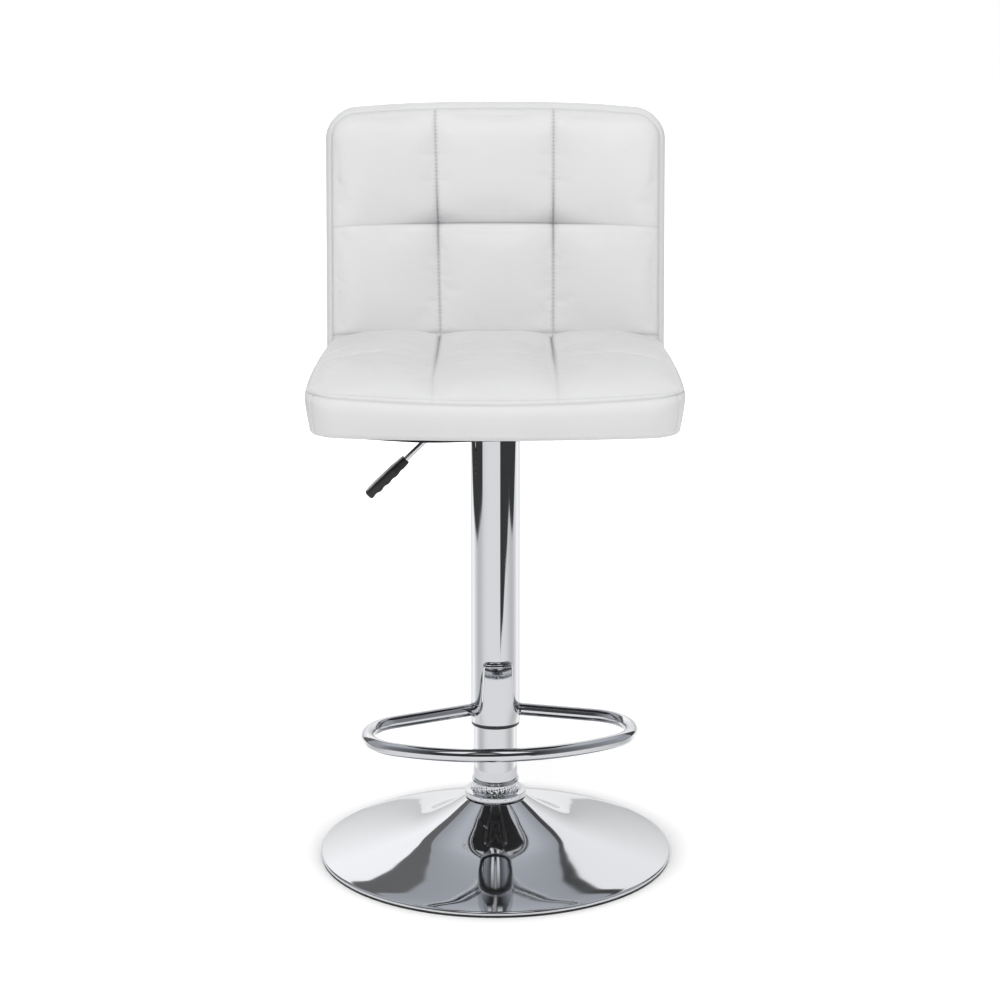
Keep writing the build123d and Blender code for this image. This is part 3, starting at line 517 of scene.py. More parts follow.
def standProfile():
    # straight tube on a tapered foot with a pierced floor, on which the bearing stands
    low, high = nodeBox("stand_tube")
    outer, inner = high[0], high[0] - column["standWall"]
    base, floor, taperTop = low[2], low[2] + standFoot["floor"], standFoot["taperTop"]
    floorRadius = np.interp(floor, [base, taperTop], [standFoot["radius"], outer]) - column["standWall"]
    outside = [(standFoot["rodHole"], base), (standFoot["radius"], base), (outer, taperTop), (outer, high[2])]
    inside = [(inner, high[2]), (inner, taperTop), (floorRadius, floor), (standFoot["rodHole"], floor)]
    return roundedLoop(outside + inside, column["endRound"])


coverTube, standTube = (lathe(profile, column["segments"]) for profile in (coverProfile(), standProfile()))
layPiece("cover_sleeve", [coverTube], chrome, "seat", ["cover_tube"])
layPiece("stand_pipe", [standTube], chrome, "base", ["stand_tube"])


# Footrest

footrest = {
    "turn": 6.5,
    "barRadius": 7.0,
    "rootX": 16.2,
    "reach": 160.0,
    "halfWidth": 142.0,
    "cornerRadius": 51.0,
    "legSlope": 21.5,
    "shift": -4.5,
    "seatRadius": 26.4,
    "sides": 48,
    "arcSteps": 48,
    "legSteps": 24,
}


def turned(points, degrees):
    # points turned about the column's axis
    c, s = math.cos(math.radians(degrees)), math.sin(math.radians(degrees))
    return points @ np.array([[c, s, 0], [-s, c, 0], [0, 0, 1]])


def hoopPath():
    # right half: straight leg, corner arc and half the front arc, each tangent to the next;
    # the left half mirrors it
    slope, corner = math.radians(footrest["legSlope"]), footrest["cornerRadius"]
    cornerX = footrest["halfWidth"] - corner
    leg = (cornerX - footrest["rootX"] + math.sin(slope) * corner) / math.cos(slope)
    centre = np.array([cornerX, -math.cos(slope) * corner - math.sin(slope) * leg])
    depth = centre[1] + footrest["reach"]
    frontRadius = (cornerX**2 + depth**2 - corner**2) / (2 * (depth - corner))
    frontCentre = np.array([0, frontRadius - footrest["reach"]])
    toMeet = math.atan2(*(centre - frontCentre)[::-1])
    legStart = centre + corner * np.array([math.sin(slope), math.cos(slope)])
    front = arcPoints(frontCentre, frontRadius, -np.pi / 2, toMeet, footrest["arcSteps"])
    bend = arcPoints(centre, corner, toMeet, np.pi / 2 - slope, footrest["arcSteps"])
    straight = np.linspace(legStart, (footrest["rootX"], 0), footrest["legSteps"])
    half = np.concatenate([front[:-1], bend[:-1], straight])
    whole = np.concatenate([half[:0:-1] * (-1, 1), half]) + (footrest["shift"], 0)
    low, high = nodeBox("footrest_hoop")
    return np.column_stack([whole, np.full(len(whole), (low[2] + high[2]) / 2)])


def hoopPart():
    # bent bar whose two ends lie on a cylinder within the collar's wall
    path = turned(hoopPath(), footrest["turn"])
    points, quads = tubeAlong(path, footrest["barRadius"], (0, 0, 1), footrest["sides"])
    away = np.hypot(points[:, 0], points[:, 1])
    points[:, :2] *= np.maximum(footrest["seatRadius"] / away, 1)[:, None]
    return points, quads


layPiece("footrest_bar", [hoopPart()], chrome, "seat", ["footrest_hoop"])

collar = {
    "height": 22.0,
    "wall": 1.6,
    "bulge": 3.0,
    "topBulge": 5.6,
    "faceRadius": 46.0,
    "topHalf": 16.0,
    "rootHalf": 18.0,
    "rootRise": 28.0,
    "skirtRise": 9.0,
    "topCorner": 6.0,
    "bevelRise": 5.0,
    "lip": 0.6,
    "edgeRound": 1.6,
    "skirtPower": 2.6,
    "tubeGap": 0.1,
    "sink": 0.4,
    "columns": 72,
    "ringRound": 0.6,
    "ringSegments": 160,
}


def tonguePart():
    # crescent that stands proud of the column's front, more so towards its rounded top; its half width
    # follows the outline, and its face goes from the ring's curve at the foot to a flatter one
    low, high = nodeBox("footrest_collar")
    tube = nodeBox("cover_tube")[1][0]
    base, top, corner = low[2], high[2], collar["topCorner"]
    stops = [base, base + collar["rootRise"], top - collar["bevelRise"], top]
    z = spacedStops(stops, fine=0.12, coarse=1.4, reach=4)[:, None]
    rise = z - base
    flank = np.interp(rise, [collar["rootRise"], top - base], [collar["rootHalf"], collar["topHalf"]])
    spread = np.clip((collar["rootRise"] - rise) / (collar["rootRise"] - collar["skirtRise"]), 0, 1)
    half = np.minimum(flank + (tube - collar["rootHalf"]) * spread ** collar["skirtPower"], tube)
    intoCorner = np.clip((z - top + corner) / corner, 0, 1)
    half = half - corner * (1 - np.sqrt(1 - intoCorner**2))
    u = np.sin(np.linspace(-np.pi / 2, np.pi / 2, collar["columns"]))[None]
    x = u * half
    proud = collar["bulge"] + (collar["topBulge"] - collar["bulge"]) * rise / (top - base)
    radii = (tube + collar["tubeGap"], collar["faceRadius"])
    ringCurve, faceCurve = (np.sqrt(np.maximum(r**2 - x**2, 0)) - r for r in radii)
    outer = tube + proud + ringCurve + (faceCurve - ringCurve) * np.clip(rise / collar["rootRise"], 0, 1)
    bevel = 1 - quarterRound((top - z) / collar["bevelRise"])
    back = np.sqrt(np.maximum(tube**2 - x**2, 0)) - collar["sink"]
    stand = (outer - back) * (1 - bevel * (1 - collar["lip"] / collar["topBulge"]))
    edge = collar["edgeRound"]
    soft = quarterRound((half - np.abs(x)) / edge) * quarterRound(rise / edge)
    soft = soft * quarterRound((top - z) / edge)
    front = np.stack([x, -(back + stand * soft), z + 0 * x], axis=-1)
    rear = np.stack([x, -back, z + 0 * x], axis=-1)
    return joinParts([gridPart(front), gridPart(rear[:, ::-1])])


def collarParts():
    # thin ring round the column's foot, and the tongue on it
    low = nodeBox("footrest_collar")[0][2]
    bore = nodeBox("cover_tube")[1][0] - column["coverWall"]
    loop = ringLoop(bore, bore + collar["wall"], low, low + collar["height"], collar["ringRound"])
    points, quads = tonguePart()
    return [lathe(loop, collar["ringSegments"]), (turned(points, footrest["turn"]), quads)]


layPiece("footrest_clamp", collarParts(), chrome, "seat", ["footrest_collar"])


# Release lever

lever = {
    "radius": 3.0,
    "height": 500.0,
    "inner": 5.0,
    "knee": -43.8,
    "bend": 9.0,
    "drop": 44.0,
    "arm": 73.5,
    "bite": 33.0,
    "pivot": -25.0,
    "hubRadius": 5.2,
    "hubHalf": 5.8,
    "hubRound": 0.4,
    "hubSegments": 64,
    "pinRadius": 2.06,
    "runSteps": 12,
    "bendSteps": 20,
    "armSteps": 30,
    "sides": 40,
}
grip = {
    "length": 58.0,
    "stations": (0.0, 17.4, 43.5, 58.0),
    "widths": (9.6, 13.6, 13.6, 11.0),
    "heights": (10.0, 12.4, 12.4, 10.8),
    "lowerSquare": 6.5,
    "upperSquare": 2.6,
    "nearRound": 1.0,
    "tipRound": 3.6,
    "scallops": 4,
    "scallopRadius": 8.0,
    "scallopDepth": 1.2,
    "stripFrom": 0.7,
    "stripTo": 0.82,
    "scallopStart": 12.8,
    "scallopPitch": 12.0,
    "rootShare": 0.4,
    "sides": 96,
}
leverDown = math.radians(lever["drop"])
leverLine = np.array([-math.cos(leverDown), 0, -math.sin(leverDown)])
kneePoint = np.array([lever["knee"], 0, lever["height"]])


def leverPath():
    # level run to the knee, an arc tangent to both runs, and the arm that drops into the grip
    cut = lever["bend"] * math.tan(leverDown / 2)
    centre = np.array([lever["knee"] + cut, lever["height"] - lever["bend"]])
    steps = lever["bendSteps"]
    bend = arcPoints(centre, lever["bend"], np.pi / 2, np.pi / 2 + leverDown, steps)
    bend = np.column_stack([bend[:, 0], np.zeros(steps), bend[:, 1]])
    start = np.linspace((lever["inner"], 0, lever["height"]), bend[0], lever["runSteps"])[:-1]
    tip = kneePoint + leverLine * (lever["arm"] + lever["bite"])
    end = np.linspace(bend[-1], tip, lever["armSteps"])[1:]
    return np.concatenate([start, bend, end])


def leverHub():
    # short sleeve about the pivot's axis, which runs along Y
    half = lever["hubHalf"]
    loop = ringLoop(lever["pinRadius"], lever["hubRadius"], -half, half, lever["hubRound"])
    points, quads = lathe(loop, lever["hubSegments"])
    return points[:, [0, 2, 1]] + (lever["pivot"], 0, lever["height"]), quads


leverBar = tubeAlong(leverPath(), lever["radius"], (0, 1, 0), lever["sides"])
layPiece("lever_arm", [leverBar, leverHub()], chrome, "lever", ["lever_rod"])


def gripPart():
    # rounded rectangle |x/a|^n + |y/b|^n = 1 along the arm, rounder above, drawn in at its ends,
    # with finger grooves below that deepen towards the tip
    length = grip["length"]
    s = spacedStops([0, length], fine=0.15, coarse=0.7, reach=5)[:, None]
    near, tip = grip["nearRound"], grip["tipRound"]
    drawn = near * (1 - quarterRound(s / near)) + tip * (1 - quarterRound((length - s) / tip))
    a = np.interp(s, grip["stations"], grip["widths"]) / 2 - drawn
    b = np.interp(s, grip["stations"], grip["heights"]) / 2 - drawn
    t = np.linspace(0, 2 * np.pi, grip["sides"], endpoint=False)[None]
    power = np.where(np.sin(t) > 0, 2 / grip["lowerSquare"], 2 / grip["upperSquare"])
    x = a * np.sign(np.cos(t)) * np.abs(np.cos(t)) ** power
    y = b * np.sign(np.sin(t)) * np.abs(np.sin(t)) ** power
    radius, depth = grip["scallopRadius"], grip["scallopDepth"]
    along = grip["scallopStart"] + grip["scallopPitch"] * np.arange(grip["scallops"])
    off = np.abs(s - along[None]).min(axis=1, keepdims=True)
    groove = np.maximum(np.sqrt(np.maximum(radius**2 - off**2, 0)) - radius + depth, 0)
    groove = groove * (grip["rootShare"] + (1 - grip["rootShare"]) * s / length)
    level = y / np.maximum(b, 1e-6)
    # painted highlight: a pale strip along the grip's top, kept off its rounded tip
    pale = np.clip((-level - grip["stripFrom"]) / (grip["stripTo"] - grip["stripFrom"]), 0, 1)
    y = y - groove * np.clip(level, 0, 1)
    lower = np.array([-leverLine[2], 0, leverLine[0]])
    root = kneePoint + leverLine * lever["arm"]
    skin = root + s[..., None] * leverLine + y[..., None] * lower + x[..., None] * np.array([0, 1, 0])
    ends = [np.broadcast_to(root + s[k] * leverLine, (1, t.size, 3)) for k in (0, -1)]
    strip = np.concatenate([np.zeros((1, t.size)), pale * (s < length - tip), np.zeros((1, t.size))])
    return gridPart(np.concatenate([ends[0], skin, ends[1]]), wrapCols=True), strip.ravel()


gripSkin, gripHighlight = gripPart()
layPiece("lever_handle", [gripSkin], gripPlastic, "lever", ["lever_grip"], [gripHighlight])


# Padding: a patch on top, a patch beneath, and a wall between their edges


def edgeLoop(patch):
    # the patch's border, once round
    return np.concatenate([patch[:, 0], patch[-1, 1:], patch[-2::-1, -1], patch[0, -2:0:-1]])


def outwardOf(loop):
    # unit vectors square to a flat loop, away from its middle
    along = np.roll(loop, -1, axis=0) - np.roll(loop, 1, axis=0)
    out = unit(np.column_stack([along[:, 1], -along[:, 0]]))
    return out * np.where(np.sum(out * (loop - loop.mean(axis=0))) < 0, -1, 1)


def roundedCorner(x, y, half, edge, radius):
    # plan point moved so that the corner at (half, edge) becomes a quarter circle; edge lies towards -y
    a = np.clip((np.abs(x) - half + radius) / radius, 0, 1)
    b = np.clip((edge + radius - y) / radius, 0, 1)
    x = x - np.sign(x) * radius * a * (1 - np.sqrt(1 - b * b / 2))
    y = y + radius * b * (1 - np.sqrt(1 - a * a / 2))
    return x, y


pucker = {"second": 0.7, "stretch": 1.7, "shift": 2.1, "start": 1.5}


def puckers(along, off, size, length, seed, reach=7.0):
    # small waves that run out from a seam and die away from it
    slow = 2 * np.pi * along / (pucker["stretch"] * length) + pucker["shift"] * seed
    wave = np.sin(2 * np.pi * along / length + seed) + pucker["second"] * np.sin(slow)
    return size * wave * np.exp(-np.abs(off) / reach) * (1 - np.exp(-np.abs(off) / pucker["start"]))


def padPart(top, rings, beneath, press):
    # closes the pad and presses seams in along its normals; press goes with the top patch and the rings' rows
    loopRows = np.concatenate([edgeLoop(top)[None], rings, edgeLoop(beneath)[None]])
    points, quads = joinParts([gridPart(top), gridPart(loopRows, wrapCols=True), gridPart(beneath[:, ::-1])])
    first, whole, triangles = weld(points, quads)
    kept = points[first]
    if insideOut(kept, whole, triangles):
        whole = whole[:, ::-1]
    return kept + pointNormals(kept, whole) * press[first][:, None], whole, first


seam = {
    "depth": 0.9,
    "width": 1.2,
    "stitchAway": 5.0,
    "stitchDepth": 0.5,
    "stitchWidth": 0.8,
    "cornerDepth": 0.5,
    "cornerWidth": 1.1,
    # strength of the painted shade along the seams, and in the hollows where the cover is pressed in
    "paintedShade": 0.8,
    "pressShade": 0.25,
}


def seamPress(away):
    # how far a cover is pressed in at a distance from its edge seam: the seam itself, and a row of stitches
    stitches = seam["stitchDepth"] * bell((away - seam["stitchAway"]) / seam["stitchWidth"])
    return -seam["depth"] * bell(away / seam["width"]) - stitches


def layPad(name, top, rings, beneath, topPress, ringPress, paintedShade, node):
    # a closed pad, with painted shade along its seams and where it is pressed in
    ringPress = np.pad(ringPress, ((0, 1), (0, 0)))
    press = np.concatenate([topPress.ravel(), ringPress.ravel(), np.zeros(paintedShade.size)])
    points, quads, first = padPart(top, rings, beneath, press)
    paintedLight = np.concatenate([seam["paintedShade"] * paintedShade.ravel(), np.zeros(ringPress.size + paintedShade.size)])
    paintedLight = np.maximum(paintedLight, seam["pressShade"] * np.clip(-press, 0, 1))[first]
    return layPiece(name, [(points, quads)], leatherette, "seat", [node], [paintedLight])


cloth = {
    "step": 6.0,
    "pressure": 4.0,
    "frames": 20,
    "slack": 0.006,
    "cap": 6.0,
    "mass": 0.35,
    "quality": 6,
    "stiffness": 15.0,
    "bending": 0.6,
}


def clothSwell(name, surface, x, y, heldX, heldY):
    # a coarse cloth on the same grid, sewn down along its seams and border and blown up from within;
    # gives its moves
    gridX, gridY = np.meshgrid(x, y, indexing="ij")
    start = surface(gridX, gridY)
    points, quads = gridPart(start)
    mesh = bpy.data.meshes.new(name)
    mesh.from_pydata((points * toMetres).tolist(), [], quads.tolist())
    sheet = bpy.data.objects.new(name, mesh)
    bpy.context.scene.collection.objects.link(sheet)
    held = np.isin(gridX, heldX) | np.isin(gridY, heldY)
    sheet.vertex_groups.new(name="held").add(np.flatnonzero(held.ravel()).tolist(), 1.0, "REPLACE")
    settings = sheet.modifiers.new("cloth", "CLOTH").settings
    settings.quality = cloth["quality"]
    settings.mass = cloth["mass"]
    settings.tension_stiffness = settings.compression_stiffness = cloth["stiffness"]
    settings.bending_stiffness = cloth["bending"]
    settings.shrink_min = -cloth["slack"]
    settings.vertex_group_mass = "held"
    settings.use_pressure = True
    settings.uniform_pressure_force = cloth["pressure"] * (1 if outwardNormals(points, quads) else -1)
    settings.effector_weights.gravity = 0
    scene = bpy.context.scene
    for number in range(1, cloth["frames"] + 1):
        scene.frame_set(number)
    blown = sheet.evaluated_get(bpy.context.evaluated_depsgraph_get())
    ends = np.zeros(len(mesh.vertices) * 3)
    blown.data.vertices.foreach_get("co", ends)
    moves = ends.reshape(start.shape) / toMetres - start
    scene.frame_set(1)
    bpy.data.objects.remove(sheet)
    bpy.data.meshes.remove(mesh)
    size = np.linalg.norm(moves, axis=-1, keepdims=True)
    moves *= cloth["cap"] * np.tanh(size / cloth["cap"]) / np.maximum(size, 1e-9)
    print(name, "cloth moved by up to", round(float(size.max()), 2), "mm")
    return moves


def outwardNormals(points, quads):
    # whether the patch's normals point away from the column and up
    normals = pointNormals(points, quads)
    return normals[:, 2].mean() - normals[:, 1].mean() > 0


def movesAt(drape, atX, atY):
    # moves of the coarse cloth read between its points
    if drape is None:
        return 0.0
    moves, x, y = drape
    i = np.clip(np.searchsorted(x, atX) - 1, 0, len(x) - 2)
    j = np.clip(np.searchsorted(y, atY) - 1, 0, len(y) - 2)
    u = np.clip((atX - x[i]) / (x[i + 1] - x[i]), 0, 1)[..., None]
    v = np.clip((atY - y[j]) / (y[j + 1] - y[j]), 0, 1)[..., None]
    near = moves[i, j] * (1 - u) + moves[i + 1, j] * u
    far = moves[i, j + 1] * (1 - u) + moves[i + 1, j + 1] * u
    return near * (1 - v) + far * v


def swollen(name, surface, seamsX, seamsY, heldY, coarse):
    # fine grid on a surface, and the cloth that is held along the surface's sewn seams
    both = zip((seamsX, seamsY), coarse)
    stops = (spacedStops(seams, fine=0.4, coarse=step, reach=34) for seams, step in both)
    gridX, gridY = np.meshgrid(*stops, indexing="ij")
    drape = None
    x, y = (spacedStops(seams, cloth["step"], cloth["step"], reach=1) for seams in (seamsX, seamsY))
    drape = clothSwell(name, surface, x, y, seamsX, heldY), x, y
    return gridX, gridY, surface(gridX, gridY) + movesAt(drape, gridX, gridY), drape


seatPad = {
    "half": 186.5,
    "frontFlare": 4.2,
    "sideBow": 4.0,
    "frontCorner": -169.5,
    "bow": 17.0,
    "cornerRadius": 25.0,
    "sideRise": 2.5,
    "rear": 160.5,
    "rearCurve": 712.0,
    "edgeHeight": 544.0,
    "cornerRise": 6.5,
    "dome": 19.5,
    "sideShoulder": 56.0,
    "frontShoulder": 88.0,
    "seamX": 63.0,
    "crossY": 5.0,
    "crossFrom": 104.0,
    "underside": 506.0,
    "frontBulge": 5.5,
    "sideBulge": 1.5,
    "wallTaper": 4.2,
    "frontFull": 0.35,
    "sideFull": 0.12,
    "lowRound": 8.0,
    "rollSteps": 10,
    "lowInset": 0.955,
    "boardInset": 24.0,
    "boardTop": 524.3,
    "bowPower": 1.5,
    "sideBowPower": 0.8,
    "sideRiseRate": 2.2,
    "tuck": 3.0,
    "tuckReach": 14.0,
    "taperPower": 1.5,
}
seatSeams = {
    "run": 190.0,
    "longValley": {"depth": 0.6, "more": 3.2, "width": 40.0},
    "longSeam": {"depth": 0.7, "more": 3.2, "width": 6.0},
    "crossValley": {"depth": 2.4, "width": 40.0},
    "crossSeam": {"depth": 5.0, "width": 7.0},
    "longWaves": {"size": 0.35, "length": 14, "seed": 0.4},
    "crossWaves": {"size": 0.35, "length": 19, "seed": 1.3},
    "fold": {"depth": 1.5, "x": -150.0, "y": 52.0, "slant": 0.25, "width": 3.5, "from": 118.0, "over": 30.0},
}
# painted shade along the seat's long seams, rising towards the back, and along the cross seam's outer ends
seatShade = {"width": 4.0, "from": -175.0, "over": 260.0, "least": 0.12, "crossOver": 60.0, "crossMost": 0.8}


def seatTop(x0, y0):
    # dome that rises from the edge seam as a quarter ellipse, drawn down along two long seams and a cross
    # seam, with one loose fold on its left
    pad, seams = seatPad, seatSeams
    side, front = pad["half"] - np.abs(x0), y0 - pad["frontCorner"]
    wide = x0 / pad["half"]
    fullLength = pad["rear"] - pad["frontCorner"]
    share = np.clip(front / fullLength, 0, 1)
    y1 = y0 - share * x0**2 / (2 * pad["rearCurve"])
    x, y = roundedCorner(x0, y1, pad["half"], pad["frontCorner"], pad["cornerRadius"])
    y = y - pad["bow"] * (1 - wide**2) * (1 - share) ** pad["bowPower"]
    sideBow = pad["sideBow"] * np.sin(np.pi * share ** pad["sideBowPower"])
    x = x + wide**3 * (pad["frontFlare"] * (1 - share) + sideBow)
    rise = quarterRound(side / pad["sideShoulder"]) * quarterRound(front / pad["frontShoulder"])
    tuck = 1 - quarterRound((pad["rear"] - y0) / pad["tuckReach"])
    offLong, offCross = np.abs(x0) - pad["seamX"], y0 - pad["crossY"]
    backness = np.clip(front / seams["run"], 0, 1)
    outer = np.clip((np.abs(x0) - pad["crossFrom"]) / (pad["half"] - pad["crossFrom"]), 0, 1)
    valley, sharp, fold = seams["longValley"], seams["longSeam"], seams["fold"]
    longDepth = (valley["depth"] + valley["more"] * backness) * fade(offLong, valley["width"])
    longDepth = longDepth + (sharp["depth"] + sharp["more"] * backness**2) * fade(offLong, sharp["width"])
    crossings = (seams["crossValley"], seams["crossSeam"])
    crossDepth = sum(line["depth"] * outer * fade(offCross, line["width"]) for line in crossings)
    offFold = y0 - fold["y"] - fold["slant"] * (x0 - fold["x"])
    onFold = np.clip((-x0 - fold["from"]) / fold["over"], 0, 1)
    foldDepth = fold["depth"] * bell(offFold / fold["width"]) * onFold
    waves = puckers(y0, offLong, **seams["longWaves"]) * backness
    waves = waves + puckers(x0, offCross, **seams["crossWaves"]) * outer
    edge = pad["cornerRise"] + pad["sideRise"] * np.clip(pad["sideRiseRate"] * share, 0, 1)
    z = pad["edgeHeight"] + edge * wide**2 + (pad["dome"] - edge * wide**4) * rise
    z = z - (longDepth + crossDepth + foldDepth - waves) * np.sqrt(rise) - pad["tuck"] * tuck
    return np.stack([x, y, z], axis=-1)


def seatPress(x0, y0):
    # the edge seam and the row of stitches above it
    pad = seatPad
    side, front = pad["half"] - np.abs(x0), y0 - pad["frontCorner"]
    rise = quarterRound(side / pad["sideShoulder"]) * quarterRound(front / pad["frontShoulder"])
    return seamPress(np.hypot(pad["dome"] * rise, np.minimum(side, front)))


def seatSeamShade(x0, y0):
    # painted shade along the long and cross seams
    pad, paintedShade = seatPad, seatShade
    along = np.clip((y0 - paintedShade["from"]) / paintedShade["over"], paintedShade["least"], 1)
    across = np.clip((np.abs(x0) - pad["crossFrom"]) / paintedShade["crossOver"], 0, paintedShade["crossMost"])
    onLong = fade(np.abs(x0) - pad["seamX"], paintedShade["width"]) * along
    return np.maximum(onLong, fade(y0 - pad["crossY"], paintedShade["width"]) * across)


def seatWall(top, beneath):
    # wall that is fullest below the edge seam, tapers to a rolled lower edge and is sewn at the front corners
    pad = seatPad
    loop, low = edgeLoop(top), edgeLoop(beneath)
    out = outwardOf(loop[:, :2])
    down = spacedStops([0, 1], fine=0.015, coarse=0.07, reach=0.3)[1:, None, None]
    turn = np.radians(np.linspace(0, 90, pad["rollSteps"]))[1:-1, None, None]
    drop = loop[:, 2] - pad["underside"] - pad["lowRound"]
    fullAt = (pad["frontFull"] + (pad["sideFull"] - pad["frontFull"]) * out[:, :1] ** 2)[None]
    filling = 1 - np.clip(1 - down / fullAt, 0, 1) ** 2
    taper = np.clip((down - fullAt) / (1 - fullAt), 0, 1) ** pad["taperPower"]
    bulge = pad["frontBulge"] + (pad["sideBulge"] - pad["frontBulge"]) * out[:, :1] ** 2
    plan = loop[:, :2] + out * (bulge * filling - pad["wallTaper"] * taper)
    wall = np.concatenate([plan, (loop[:, 2] - drop * down[..., 0])[..., None]], axis=-1)
    rolled = plan[-1] + (low[:, :2] - plan[-1]) * (1 - np.cos(turn))
    height = pad["underside"] + pad["lowRound"] * (1 - np.sin(turn)) + 0 * rolled[..., :1]
    return np.concatenate([wall, np.concatenate([rolled, height], axis=-1)])


def seatBeneath(x0, y0, top):
    # underside, with a hollow that takes the board
    pad = seatPad
    middle = np.array([0, (pad["frontCorner"] + pad["rear"]) / 2])
    plan = middle + (top[..., :2] - middle) * pad["lowInset"]
    inner = np.minimum.reduce([pad["half"] - np.abs(x0), y0 - pad["frontCorner"], pad["rear"] - y0])
    z = np.where(inner > pad["boardInset"], pad["boardTop"], pad["underside"])
    return np.concatenate([plan, z[..., None]], axis=-1)


def makeSeat():
    # swollen top, wall down to the rolled lower edge, and underside; sewn along the top's border
    pad = seatPad
    seamsX = [-pad["half"], -pad["seamX"], pad["seamX"], pad["half"]]
    ends = [pad["frontCorner"], pad["rear"]]
    seamsY = [pad["frontCorner"], pad["crossY"], pad["rear"]]
    x0, y0, top, drape = swollen("seat", seatTop, seamsX, seamsY, heldY=ends, coarse=(4.0, 4.0))
    beneath = seatBeneath(x0, y0, seatTop(x0, y0))
    rings = seatWall(top, beneath)
    loop = edgeLoop(top)
    below = np.abs(loop[:, 2] - np.concatenate([loop[None], rings])[..., 2])
    corners = np.array([(s * pad["half"], pad["frontCorner"]) for s in (-1, 1)])
    flat = edgeLoop(np.stack([x0, y0], axis=-1))
    fromCorner = np.linalg.norm(flat[:, None] - corners[None], axis=-1).min(axis=1)
    ringPress = -seam["depth"] * bell(below / seam["width"])
    ringPress = ringPress - seam["cornerDepth"] * bell(fromCorner / seam["cornerWidth"])
    press, paintedShade = seatPress(x0, y0), seatSeamShade(x0, y0)
    return layPad("seat_padding", top, rings, beneath, press, ringPress, paintedShade, "seat_cushion"), drape


seatPiece, seatDrape = makeSeat()

backPad = {
    "foot": (163.0, 565.0),
    "lean": 8.5,
    "curve": 712.0,
    "half": 184.0,
    "low": -44.0,
    "top": 248.5,
    "cornerRadius": 25.0,
    "archPower": 2.4,
    "archHeights": (-44.0, 119.5, 248.5),
    "archDrops": (1.5, 5.5, 10.5),
    "edgeDrop": 9.0,
    "shoulder": 34.0,
    "crown": 10.5,
    "pillow": 2.2,
    "seamX": 64.0,
    "leftLow": 62.2,
    "leftTop": 68.1,
    "right": 65.2,
    "footSeam": -4.0,
    "midSeam": 119.5,
    "rearCurve": 747.3,
    "boardCurve": 738.0,
    "boardInset": 15.0,
    "sideBulge": 7.2,
    "topBulge": 9.0,
    "bulgePower": 0.7,
}
backSeams = {
    "crossReach": 24.0,
    "sideReach": 60.0,
    "upright": {"depth": 1.6, "more": 2.4, "reach": 34.0, "width": 8.0},
    "valley": {"depth": 0.8, "more": 1.2, "reach": 40.0, "width": 24.0},
    "middle": {"depth": 0.7, "side": 4.2, "cross": 2.2, "over": 15.0, "overMore": 12.0, "under": 10.0},
    "middleValley": {"depth": 1.2, "width": 30.0},
    "crossing": {"depth": 2.2, "x": 10.0, "z": 11.0},
    "foot": {"depth": 1.2, "width": 9.0},
    "uprightWaves": {"size": 0.8, "length": 4.2, "seed": 0.9, "reach": 2.2},
    "middleWaves": {"size": 0.3, "length": 15, "seed": 2.2},
}
# painted shade along the back's seams: puckers up the upright ones, and a shade band over the middle one
backShade = {
    "ladder": {"pitch": 4.2, "width": 2.6, "clear": 26.0, "paintedShade": 0.3},
    "upright": {"width": 3.2, "paintedShade": 0.46, "more": 0.54, "reach": 34.0},
    "middle": {"width": 3.0, "least": 0.25, "more": 0.75, "reach": 50.0},
    "shade": {"width": 9.0, "wider": 15.0, "widerReach": 26.0, "paintedShade": 0.3, "more": 0.16, "reach": 22.0},
    "foot": {"width": 5.0, "paintedShade": 0.5},
}


def curveDepth(x, radius):
    # depth of a curve about the back's centre of curvature
    return np.sqrt(radius**2 - x**2) - backPad["curve"]


def leaned(x, depth, height):
    # point of the upright back, leaned and set on the seat
    c, s = math.cos(math.radians(backPad["lean"])), math.sin(math.radians(backPad["lean"]))
    footY, footZ = backPad["foot"]
    return np.stack([x, footY + depth * c + height * s, footZ - depth * s + height * c], axis=-1)


def backPlan(x0, z0, half, top, radius):
    # front view of the back: rounded top corners, and an arch that is highest along the top
    x, down = roundedCorner(x0, -z0, half, -top, radius)
    drop = np.interp(z0, backPad["archHeights"], backPad["archDrops"])
    return x, -down - drop * np.abs(x0 / half) ** backPad["archPower"]


def seamSlant(x0, z0):
    # sideways shift that carries the two upright seams to where they are sewn, fading to nothing half a
    # panel away
    pad = backPad
    near = np.clip(1 - np.abs(np.abs(x0) - pad["seamX"]) / pad["seamX"], 0, 1)
    share = np.clip(z0 / pad["top"], 0, 1)
    left = pad["seamX"] - pad["leftLow"] - (pad["leftTop"] - pad["leftLow"]) * share
    return near * np.where(x0 < 0, left, pad["right"] - pad["seamX"])


